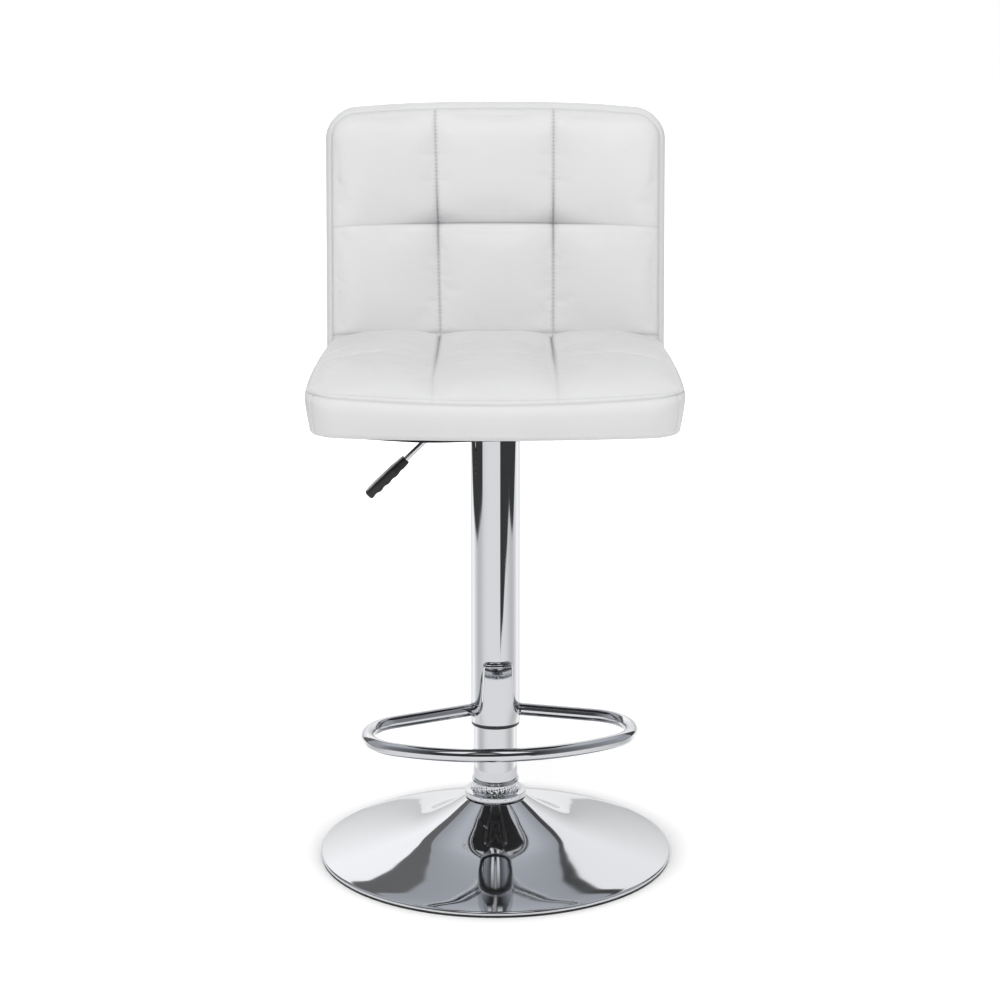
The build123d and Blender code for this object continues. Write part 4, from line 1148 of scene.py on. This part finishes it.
def backFront(x0, z0):
    # hollow curve with six flat pillows: sharp seams between them, deepest where they cross, and the upper
    # row hanging over the middle seam; outside it falls to the edge seam as a quarter ellipse
    pad, seams = backPad, backSeams
    x, z = backPlan(x0, z0, pad["half"], pad["top"], pad["cornerRadius"])
    x = x + seamSlant(x0, z0)
    side, crest = pad["half"] - np.abs(x0), pad["top"] - z0
    rise = quarterRound(side / pad["shoulder"]) * quarterRound(crest / pad["shoulder"])
    offLong, offMid = np.abs(x0) - pad["seamX"], z0 - pad["midSeam"]
    inner = np.clip(1 - (x0 / pad["seamX"]) ** 2, 0, 1)
    outer = np.clip(1 - (2 * offLong / (pad["half"] - pad["seamX"]) - 1) ** 2, 0, 1)
    span = np.where(offMid < 0, pad["midSeam"] - pad["footSeam"], pad["top"] - pad["midSeam"])
    row = np.clip(1 - (2 * np.abs(offMid) / span - 1) ** 2, 0, 1)
    pillow = pad["pillow"] * np.where(offLong < 0, inner, outer) * row
    nearCross = bell(offLong / seams["crossReach"])
    towardsSide = np.where(offLong < 0, 1.0, bell(offLong / seams["sideReach"]))
    longDepth = sum(
        (line["depth"] + line["more"] * bell(offMid / line["reach"])) * fade(offLong, line["width"])
        for line in (seams["upright"], seams["valley"])
    )
    middle, valley, crossing, footSeam = (seams[k] for k in ("middle", "middleValley", "crossing", "foot"))
    midWidth = np.where(offMid > 0, middle["over"] + middle["overMore"] * nearCross, middle["under"])
    midDepth = middle["depth"] + middle["side"] * towardsSide + middle["cross"] * nearCross
    midDepth = midDepth * fade(offMid, midWidth)
    midDepth = midDepth + valley["depth"] * towardsSide * fade(offMid, valley["width"])
    crossDepth = crossing["depth"] * bell(offLong / crossing["x"]) * bell(offMid / crossing["z"])
    footDepth = footSeam["depth"] * fade(z0 - pad["footSeam"], footSeam["width"])
    waves = puckers(z0, offLong, **seams["uprightWaves"])
    waves = waves + puckers(x0, offMid, **seams["middleWaves"]) * towardsSide
    depth = curveDepth(x, pad["curve"]) + pad["edgeDrop"] * (1 - rise)
    depth = depth - (pad["crown"] + pillow - longDepth - midDepth - footDepth - crossDepth + waves) * rise
    return leaned(x, depth, z)


def backPress(x0, z0):
    # the edge seam and the row of stitches inside it
    pad = backPad
    inward = np.minimum(pad["half"] - np.abs(x0), pad["top"] - z0)
    rise = (pad["edgeDrop"] + pad["crown"]) * quarterRound(inward / pad["shoulder"])
    return seamPress(np.hypot(rise, inward))


def backSeamShade(x0, z0):
    # painted shade on the seams: a ladder of puckers up the upright ones, and a shade over the middle one
    pad = backPad
    lines = ("ladder", "upright", "middle", "shade", "foot")
    ladder, upright, middle, shade, footSeam = (backShade[line] for line in lines)
    offLong, offMid = np.abs(x0) - pad["seamX"], z0 - pad["midSeam"]
    rungs = np.clip(np.sin(2 * np.pi * z0 / ladder["pitch"]), 0, 1) * bell(offLong / ladder["width"])
    rungs = rungs * (1 - bell(offMid / ladder["clear"]))
    darkest = upright["paintedShade"] + upright["more"] * bell(offMid / upright["reach"])
    onLong = fade(offLong, upright["width"]) * darkest + ladder["paintedShade"] * rungs
    inward = np.where(offLong < 0, 1, middle["least"] + middle["more"] * bell(offLong / middle["reach"]))
    onMiddle = fade(offMid, middle["width"]) * inward
    width = shade["width"] + shade["wider"] * bell(offLong / shade["widerReach"])
    above = np.where(offMid > 0, fade(offMid, width), 0) * inward
    above = above * (shade["paintedShade"] + shade["more"] * bell(offLong / shade["reach"]))
    onFoot = footSeam["paintedShade"] * fade(z0 - pad["footSeam"], footSeam["width"])
    return np.maximum.reduce([onLong, onMiddle, above, onFoot])


def backWall(x0, z0):
    # boxing strip between the front's edge seam and the rear panel, swelling outwards in its middle
    pad = backPad
    x, z = backPlan(x0, z0, pad["half"], pad["top"], pad["cornerRadius"])
    loop = edgeLoop(np.stack([x, z], axis=-1))
    back = spacedStops([0, 1], fine=0.03, coarse=0.1, reach=0.3)[1:-1, None, None]
    out = outwardOf(loop)
    bulge = pad["sideBulge"] + (pad["topBulge"] - pad["sideBulge"]) * np.clip(out[:, 1:], 0, 1) ** 2
    plan = loop + out * bulge * np.sin(np.pi * back) ** pad["bulgePower"]
    start = curveDepth(loop[:, 0], pad["curve"]) + pad["edgeDrop"]
    end = curveDepth(loop[:, 0], pad["rearCurve"])
    depth = start + (end - start) * back[..., 0]
    return leaned(plan[..., 0], depth, plan[..., 1])


def makeBack():
    # swollen front, boxing strip, and a rear that lies on the board and reaches past it at the edge
    pad = backPad
    seamsX = [-pad["half"], -pad["seamX"], pad["seamX"], pad["half"]]
    seamsZ = [pad["low"], pad["footSeam"], pad["midSeam"], pad["top"]]
    x0, z0, front, drape = swollen("back", backFront, seamsX, seamsZ, heldY=seamsZ, coarse=(6.0, 1.4))
    x, z = backPlan(x0, z0, pad["half"], pad["top"], pad["cornerRadius"])
    inner = np.minimum.reduce([pad["half"] - np.abs(x0), z0 - pad["low"], pad["top"] - z0])
    onBoard, onEdge = curveDepth(x, pad["boardCurve"]), curveDepth(x, pad["rearCurve"])
    behind = leaned(x, np.where(inner > pad["boardInset"], onBoard, onEdge), z)
    rings = backWall(x0, z0)
    rows = np.concatenate([edgeLoop(front)[None], rings])
    ringPress = -seam["depth"] * bell(np.linalg.norm(rows - rows[:1], axis=-1) / seam["width"])
    press, paintedShade = backPress(x0, z0), backSeamShade(x0, z0)
    return layPad("back_padding", front, rings, behind, press, ringPress, paintedShade, "back_cushion"), drape


backPiece, backDrape = makeBack()

rearPanel = {
    "half": 187.0,
    "low": -43.0,
    "top": 252.0,
    "cornerRadius": 34.0,
    "frontCurve": 747.6,
    "thick": 11.0,
    "edgeRound": 4.5,
    "crown": 1.6,
    "crownReach": 120.0,
    "edgeRows": 4,
}


def makeRearPanel():
    # padded sheet on the curve behind the back's board, with a rolled edge and a slight crown
    panel = rearPanel
    spans = ([-panel["half"], panel["half"]], [panel["low"], panel["top"]])
    stops = (spacedStops(span, fine=0.5, coarse=6.0, reach=30) for span in spans)
    x0, z0 = np.meshgrid(*stops, indexing="ij")
    px, pz = backPlan(x0, z0, panel["half"], panel["top"], panel["cornerRadius"])
    inner = np.minimum.reduce([panel["half"] - np.abs(x0), z0 - panel["low"], panel["top"] - z0])
    roll = quarterRound(inner / panel["edgeRound"])
    outer = panel["thick"] - panel["edgeRound"] * (1 - roll)
    outer = outer + panel["crown"] * quarterRound(inner / panel["crownReach"])
    rear = leaned(px, curveDepth(px, panel["frontCurve"]) + outer, pz)
    front = leaned(px, curveDepth(px, panel["frontCurve"]), pz)
    loop = edgeLoop(np.stack([px, pz], axis=-1))
    share = np.linspace(0, 1, panel["edgeRows"])[1:-1, None]
    depth = curveDepth(loop[:, 0], panel["frontCurve"]) + (panel["thick"] - panel["edgeRound"]) * (1 - share)
    rings = leaned(loop[:, 0] + 0 * share, depth, loop[:, 1] + 0 * share)
    press = np.zeros(2 * x0.size + (len(rings) + 2) * rings.shape[1])
    points, quads, _ = padPart(rear, rings, front, press)
    return layPiece("back_cover", [(points, quads)], leatherette, "seat", ["back_panel"])


rearPiece = makeRearPanel()


# Stitches along the edge seams

stitch = {
    "pitch": 4.4,
    "length": 3.6,
    "radius": 0.34,
    "lift": -0.4,
    "along": (-0.5, -0.44, -0.25, 0.25, 0.44, 0.5),
    "thick": (0, 0.7, 1, 1, 0.7, 0),
    "dip": (-0.9, -0.4, 0, 0, -0.4, -0.9),
    "sides": 6,
    "rowSteps": 240,
}
seatRow = {"inset": 1.6, "edgeInset": 2.6, "stop": 20.0, "middle": (0, -10, 520)}
backRow = {"inset": 1.0, "edgeInset": 1.0, "middle": (0, 210, 690)}


def stitchPart(path, normals):
    # a capsule on every pitch of the path, lying on the surface
    length = np.concatenate([[0], np.cumsum(np.linalg.norm(np.diff(path, axis=0), axis=1))])
    at = np.arange(stitch["pitch"], length[-1] - stitch["pitch"], stitch["pitch"])
    pick = lambda rows: np.stack([np.interp(at, length, rows[:, k]) for k in range(3)], axis=1)
    along = unit(pick(np.gradient(path, axis=0)))
    up = unit(pick(normals))
    across = np.cross(up, along)
    t = np.linspace(0, 2 * np.pi, stitch["sides"], endpoint=False)[None, :, None, None]
    shape = np.array([stitch[key] for key in ("along", "thick", "dip")])[..., None, None, None]
    s, thick, dip = shape[0] * stitch["length"], shape[1] * stitch["radius"], shape[2] * stitch["radius"]
    middle = (pick(path) + up * stitch["lift"])[None, None]
    points = middle + s * along + (thick * np.cos(t) + dip) * up + thick * np.sin(t) * across
    rings, sides, count = points.shape[:3]
    quads = gridQuads(rings, sides, wrapCols=True)
    points = points.transpose(2, 0, 1, 3).reshape(-1, 3)
    return points, (quads[None] + np.arange(count)[:, None, None] * rings * sides).reshape(-1, 4)


def surfacePath(surface, a, b, middle):
    # points and outward normals of a surface along a line in its own grid
    step = 0.05
    here = surface(a, b)
    normal = unit(np.cross(surface(a + step, b) - here, surface(a, b + step) - here))
    away = np.sum(normal * (here - middle), axis=1, keepdims=True)
    return here, normal * np.where(away < 0, -1, 1)


def borderLine(half, edge, inset, edgeInset, far):
    # down one side, along the edge and up the other side, at an inset from each
    side = half - inset
    run = np.linspace(0, 1, stitch["rowSteps"])
    corner = edge + edgeInset
    a = np.concatenate([side + 0 * run, side - 2 * side * run, -side + 0 * run])
    b = np.concatenate([far + (corner - far) * run, corner + 0 * run, corner + (far - corner) * run])
    keep = np.concatenate([[True], (np.diff(a) != 0) | (np.diff(b) != 0)])
    return a[keep], b[keep]


def seatSkin(x, y):
    # the seat's top with the moves of its cloth
    return seatTop(x, y) + movesAt(seatDrape, x, y)


def backSkin(x, down):
    # the back's front with the moves of its cloth, measured downwards
    return backFront(x, -down) + movesAt(backDrape, x, -down)


def layStitches(name, skin, row, half, edge, far):
    # a row of stitches along three sides of a skin
    a, b = borderLine(half, edge, row["inset"], row["edgeInset"], far)
    path, normals = surfacePath(skin, a, b, np.array(row["middle"]))
    layPiece(name, [stitchPart(path, normals)], thread, "seat")


seatEnd = seatPad["rear"] - seatRow["stop"]
layStitches("seat_stitching", seatSkin, seatRow, seatPad["half"], seatPad["frontCorner"], seatEnd)
layStitches("back_stitching", backSkin, backRow, backPad["half"], -backPad["top"], 0)


# Dust cover

dust = {
    "thick": 0.8,
    "sag": 1.6,
    "sagPower": 0.7,
    "windowX": 77.0,
    "windowY": 67.0,
    "windowSquare": 9,
    "edgeSquare": 14,
    "frontBow": 17.0,
    "rearBow": 25.0,
    "ripple": 0.5,
    "ripples": 9,
    "droop": 2.4,
    "droopX": -72.0,
    "droopWidth": 48.0,
    "sides": 240,
    "rings": 26,
}


def squared(angle, halfX, halfY, power):
    # rounded rectangle |x / halfX|^n + |y / halfY|^n = 1
    c, s = np.cos(angle), np.sin(angle)
    reach = (np.abs(c) ** power + np.abs(s) ** power) ** (-1 / power)
    return np.stack([halfX * c * reach, halfY * s * reach], axis=-1)


def makeDustCover():
    # cloth from the tray's window out to the seat's edge, sagging between the two
    low, high = nodeBox("dust_cover")
    angle = np.linspace(0, 2 * np.pi, dust["sides"], endpoint=False)[:, None]
    s = np.sin(angle)
    inner = squared(angle, dust["windowX"], dust["windowY"], dust["windowSquare"])
    midY, halfY, halfX = (low[1] + high[1]) / 2, (high[1] - low[1]) / 2, high[0]
    reach = squared(angle, halfX, halfY, dust["edgeSquare"])
    bowed = np.where(s < 0, dust["frontBow"], dust["rearBow"]) * (reach[..., 0] / halfX) ** 2
    outer = reach + np.stack([0 * s, midY + bowed * -np.sign(s)], axis=-1)
    share = np.linspace(0, 1, dust["rings"])[None]
    plan = inner + (outer - inner) * share[..., None]
    between = np.sin(np.pi * share)
    z = high[2] - dust["thick"] / 2 - dust["sag"] * between ** dust["sagPower"]
    ripple = dust["ripple"] * np.sin(dust["ripples"] * angle) * between
    loose = dust["droop"] * bell((plan[..., 0] - dust["droopX"]) / dust["droopWidth"]) * np.clip(-s, 0, 1)
    z = z + ripple - loose * share**3
    sheet = np.concatenate([plan, z[..., None]], axis=-1)
    under = sheet - (0, 0, dust["thick"])
    closed = np.concatenate([sheet, under[:, ::-1]], axis=1)
    skin = gridPart(closed, wrapRows=True, wrapCols=True)
    piece = layPiece("dust_sheet", [skin], dustCloth, "seat", ["dust_cover"])
    return piece, outer, inner


dustPiece, dustOuter, dustInner = makeDustCover()


# Stage, light and camera

studio = {
    "floorHalf": 14.0,
    "floorHeight": -2e-4,
    "floorColour": (0.88, 0.88, 0.885),
    "glow": 0.15,
    "shownUnder": 0.13,
    "shownNear": 0.42,
    "shownFar": 1.0,
    "shownDistances": (0.198, 0.234, 0.45, 2.2),
    "skyFill": 0.47,
    "cameraPlace": (0.0051, -2.6, 1.009),
    "cameraPitch": 13.11,
    "cameraLens": 88.54,
}


def stageMesh(name, points, faces, material):
    # a thing of the studio, no part of the stool
    mesh = bpy.data.meshes.new(name)
    mesh.from_pydata([tuple(p) for p in points], [], faces)
    mesh.materials.append(material)
    thing = bpy.data.objects.new(name, mesh)
    bpy.context.scene.collection.objects.link(thing)
    return thing


def glowMaterial(name):
    # a white glow, with the nodes that its user links on
    material = bpy.data.materials.new(name)
    material.use_nodes = True
    tree = material.node_tree
    tree.nodes.clear()
    glow = wire(tree, "ShaderNodeEmission", inputs={"Color": (1, 1, 1, 1)})
    out = wire(tree, "ShaderNodeOutputMaterial", inputs={"Surface": glow.outputs[0]})
    return material, tree, glow, out


def layFloor():
    # matt white floor that glows to the eye, more with distance: it reads white and takes the near shadow;
    # its glow is dimmest round the foot's rim, a painted shadow ring there
    material, tree, glow, out = glowMaterial("floor")
    place = wire(tree, "ShaderNodeTexCoord").outputs["Object"]
    away = wire(tree, "ShaderNodeVectorMath", {"operation": "LENGTH"}, {0: place}).outputs["Value"]
    rim, clear, start, end = studio["shownDistances"]
    # painted shadow: the glow falls towards the foot's rim
    near = toRange(tree, away, studio["shownUnder"], studio["shownNear"], rim, clear)
    far = toRange(tree, away, 0, studio["shownFar"] - studio["shownNear"], start, end)
    shown = sums(tree, "ADD", near, far)
    eye = wire(tree, "ShaderNodeLightPath").outputs["Is Camera Ray"]
    level = wire(tree, "ShaderNodeMix", inputs={0: eye, 2: studio["glow"], 3: shown}).outputs[0]
    tree.links.new(level, glow.inputs["Strength"])
    matt = wire(tree, "ShaderNodeBsdfDiffuse", inputs={"Color": (*studio["floorColour"], 1)})
    both = wire(tree, "ShaderNodeAddShader", inputs={0: matt.outputs[0], 1: glow.outputs[0]})
    tree.links.new(both.outputs[0], out.inputs["Surface"])
    h, z = studio["floorHalf"], studio["floorHeight"]
    stageMesh("floor", [(-h, -h, z), (h, -h, z), (h, h, z), (-h, h, z)], [(0, 1, 2, 3)], material)


# What the metal sees above the floor: a white backdrop behind with a dark frame, grey-blue walls and a dark
# room in front. Halves and tops are angles in radians from straight behind and from level.
room = {
    "left": {"half": 0.72, "top": 0.612, "frameHalf": 1.1, "frameTop": 0.722, "glow": 1.28, "frame": 0.17},
    "right": {"half": 0.74, "top": 0.687, "frameHalf": 1.1, "frameTop": 0.73, "glow": 1.12, "frame": 0.08},
    "corner": 4.5,
    "middleHalf": 0.06,
    "whiteEdge": (0.993, 1.0),
    "frameEdge": (0.992, 1.003),
    "whiteFoot": 0.55,
    "whiteFull": 0.45,
    "ceilingEdge": (0.75, 1.0),
    "wall": (0.43, 0.445, 0.48),
    "ceiling": (0.6, 0.62, 0.67),
    "dark": (0.045, 0.045, 0.047),
    "darkHalf": 1.0,
    "darkSpread": 0.35,
    "darkEdge": (0.4, 1.3),
    "screens": (
        {"ahead": (0.21, 0.56), "up": (0.82, 1.4), "glow": (1.2, 1.2, 1.22, 1)},
        {"ahead": (-0.1, 0.13), "up": (0.7, 0.92), "glow": (0.6, 0.6, 0.61, 1)},
    ),
}


def rimOf(tree, across, up, half, top):
    # 1 on the edge of the rounded rectangle |across / half|^n + |up / top|^n = 1
    power = room["corner"]
    wide = sums(tree, "POWER", sums(tree, "DIVIDE", sums(tree, "ABSOLUTE", across), half), power)
    tall = sums(tree, "POWER", sums(tree, "DIVIDE", sums(tree, "MAXIMUM", up, 0.0), top), power)
    return sums(tree, "POWER", sums(tree, "ADD", wide, tall), 1 / power)


def within(tree, value, low, high, soft=0.04):
    # 1 between two limits, with soft edges
    rises = toRange(tree, value, 0, 1, low - soft, low + soft)
    return sums(tree, "MULTIPLY", rises, toRange(tree, value, 1, 0, high - soft, high + soft))


def roomColours(tree):
    # directions as angles: across is 0 straight behind, ahead is 0 towards the camera, up is the elevation
    way = wire(tree, "ShaderNodeTexCoord").outputs["Generated"]
    x, y, z = wire(tree, "ShaderNodeSeparateXYZ", inputs={0: way}).outputs
    across = sums(tree, "ARCTAN2", x, y)
    ahead = sums(tree, "ABSOLUTE", sums(tree, "ARCTAN2", x, sums(tree, "MULTIPLY", y, -1.0)))
    up = sums(tree, "ARCSINE", z)
    toRight = toRange(tree, across, 0, 1, -room["middleHalf"], room["middleHalf"])
    sided = lambda key: toRange(tree, toRight, room["left"][key], room["right"][key], 0, 1)
    inner = rimOf(tree, across, up, sided("half"), sided("top"))
    outer = rimOf(tree, across, up, sided("frameHalf"), sided("frameTop"))
    walls = blendColours(tree, toRange(tree, up, 0, 1, *room["ceilingEdge"]), room["wall"], room["ceiling"])
    darkHalf = sums(tree, "MULTIPLY_ADD", up, room["darkSpread"], room["darkHalf"])
    inFront = toRange(tree, sums(tree, "DIVIDE", ahead, darkHalf), 1, 0, *room["darkEdge"])
    seen = overlay(tree, inFront, walls, (*room["dark"], 1))
    for screen in room["screens"]:
        lit = sums(tree, "MULTIPLY", within(tree, ahead, *screen["ahead"]), within(tree, up, *screen["up"]))
        seen = overlay(tree, lit, seen, screen["glow"])
    seen = overlay(tree, toRange(tree, outer, 1, 0, *room["frameEdge"]), seen, sided("frame"))
    brighter = toRange(tree, up, room["whiteFoot"], 1, 0, room["whiteFull"])
    white = sums(tree, "MULTIPLY", sided("glow"), brighter)
    return overlay(tree, toRange(tree, inner, 1, 0, *room["whiteEdge"]), seen, white)


def layWorld():
    # white to the eye, a softer fill on matt things, and the room in the metal
    world = bpy.data.worlds.new("studio")
    bpy.context.scene.world = world
    world.use_nodes = True
    tree = world.node_tree
    sky = tree.nodes["Background"]
    sky.inputs["Color"].default_value = (1, 1, 1, 1)
    rays = wire(tree, "ShaderNodeLightPath").outputs
    seen = sums(tree, "MAXIMUM", rays["Is Camera Ray"], rays["Is Transmission Ray"])
    tree.links.new(toRange(tree, seen, studio["skyFill"], 1.0, 0, 1), sky.inputs["Strength"])
    metal = wire(tree, "ShaderNodeBackground", inputs={"Color": roomColours(tree)})
    inputs = {0: rays["Is Glossy Ray"], 1: sky.outputs[0], 2: metal.outputs[0]}
    both = wire(tree, "ShaderNodeMixShader", inputs=inputs)
    tree.links.new(both.outputs[0], tree.nodes["World Output"].inputs["Surface"])


lamps = {
    "overhead": {"place": (-0.3, -1.3, 2.9), "aim": (0, 0, 0.5), "size": (2.4, 1.8), "watts": 38},
    "front": {"place": (0.2, -3.6, 1.5), "aim": (0, 0, 0.5), "size": (3.0, 2.2), "watts": 22},
    "left": {"place": (-2.6, -0.9, 1.6), "aim": (0, 0, 0.5), "size": (1.4, 2.0), "watts": 6},
    "right": {"place": (2.7, -1.2, 1.5), "aim": (0, 0, 0.5), "size": (1.4, 2.0), "watts": 9},
    "behind": {"place": (0.3, 2.4, 2.2), "aim": (0, 0, 0.6), "size": (2.0, 1.4), "watts": 14},
}


def hangLamps():
    # soft boxes that light the matt things; the metal sees the room in their place
    for name, lamp in lamps.items():
        data = bpy.data.lights.new(name, "AREA")
        data.shape = "RECTANGLE"
        data.size, data.size_y = lamp["size"]
        data.energy = lamp["watts"]
        thing = bpy.data.objects.new(name, data)
        thing.location = lamp["place"]
        way = Vector(lamp["aim"]) - Vector(lamp["place"])
        thing.rotation_euler = way.to_track_quat("-Z", "Y").to_euler()
        thing.visible_camera = False
        thing.visible_glossy = False
        bpy.context.scene.collection.objects.link(thing)


# The floor as the metal sees it: white paper with a dark room floor beyond its left and right edges. Azimuths
# are in degrees from the camera's side, + to the right; the edge is the distance at which the dark starts,
# and there is no dark where it is open. The paper is brightest towards its sides and greyer between.
matting = {
    "leftAngles": (-150, -141, -127, -119, -106, -91, -78, -66, -61, -58),
    "leftEdge": (4.0, 2.25, 1.8, 1.64, 1.5, 1.43, 1.53, 1.64, 1.72, 4.0),
    "rightAngles": (21.5, 23, 26, 36, 43, 48, 56, 61, 67, 72, 78, 85, 92, 98, 110, 118),
    "rightEdge": (4.0, 0.8, 0.86, 0.97, 1.14, 1.26, 1.39, 1.55, 1.7, 1.6, 1.52, 1.48, 1.55, 1.75, 2.3, 4.0),
    "open": 4.0,
    "paper": ({"at": 122, "width": 15, "more": 0.3}, {"at": 80, "width": 24, "more": -0.3}),
    "dark": 0.055,
    "soft": 0.05,
    "near": 0.3,
    "far": 6.0,
    "rings": 120,
    "height": 5e-4,
}


def setMatting():
    angle = np.radians(np.arange(-180, 180, 1.0))
    reach = np.geomspace(matting["near"], matting["far"], matting["rings"])
    azimuth, distance = np.meshgrid(angle, reach, indexing="ij")
    degrees = np.degrees(azimuth)
    left = np.interp(degrees, matting["leftAngles"], matting["leftEdge"])
    right = np.interp(degrees, matting["rightAngles"], matting["rightEdge"])
    edge = np.minimum(left, right)
    dark = np.where(edge < matting["open"], np.clip((distance / edge - 1) / matting["soft"], 0, 1), 0)
    lights = (p["more"] * bell((np.abs(degrees) - p["at"]) / p["width"]) for p in matting["paper"])
    shade = sum(lights, 1) * (1 - dark) + matting["dark"] * dark
    height = 0 * azimuth + matting["height"]
    points = np.stack([distance * np.sin(azimuth), -distance * np.cos(azimuth), height], axis=-1)
    material, tree, glow, _ = glowMaterial("matting")
    tone = wire(tree, "ShaderNodeAttribute", {"attribute_name": "shade"}).outputs["Fac"]
    tree.links.new(tone, glow.inputs["Strength"])
    flat, quads = gridPart(points, wrapRows=True)
    card = stageMesh("matting", flat.tolist(), quads.tolist(), material)
    card.data.attributes.new("shade", "FLOAT", "POINT").data.foreach_set("value", shade.ravel())
    for rays in ("camera", "diffuse", "shadow", "transmission", "volume_scatter"):
        setattr(card, "visible_" + rays, False)


def setCamera():
    # where the photo was taken from
    data = bpy.data.cameras.new("camera")
    data.lens = studio["cameraLens"]
    camera = bpy.data.objects.new("camera", data)
    camera.location = studio["cameraPlace"]
    camera.rotation_euler = (math.radians(90 - studio["cameraPitch"]), 0, 0)
    bpy.context.scene.collection.objects.link(camera)
    bpy.context.scene.camera = camera


layFloor()
layWorld()
hangLamps()
setMatting()
setCamera()
bpy.context.scene.view_settings.view_transform = "Standard"
print("stage set")

bpy.context.view_layer.update()
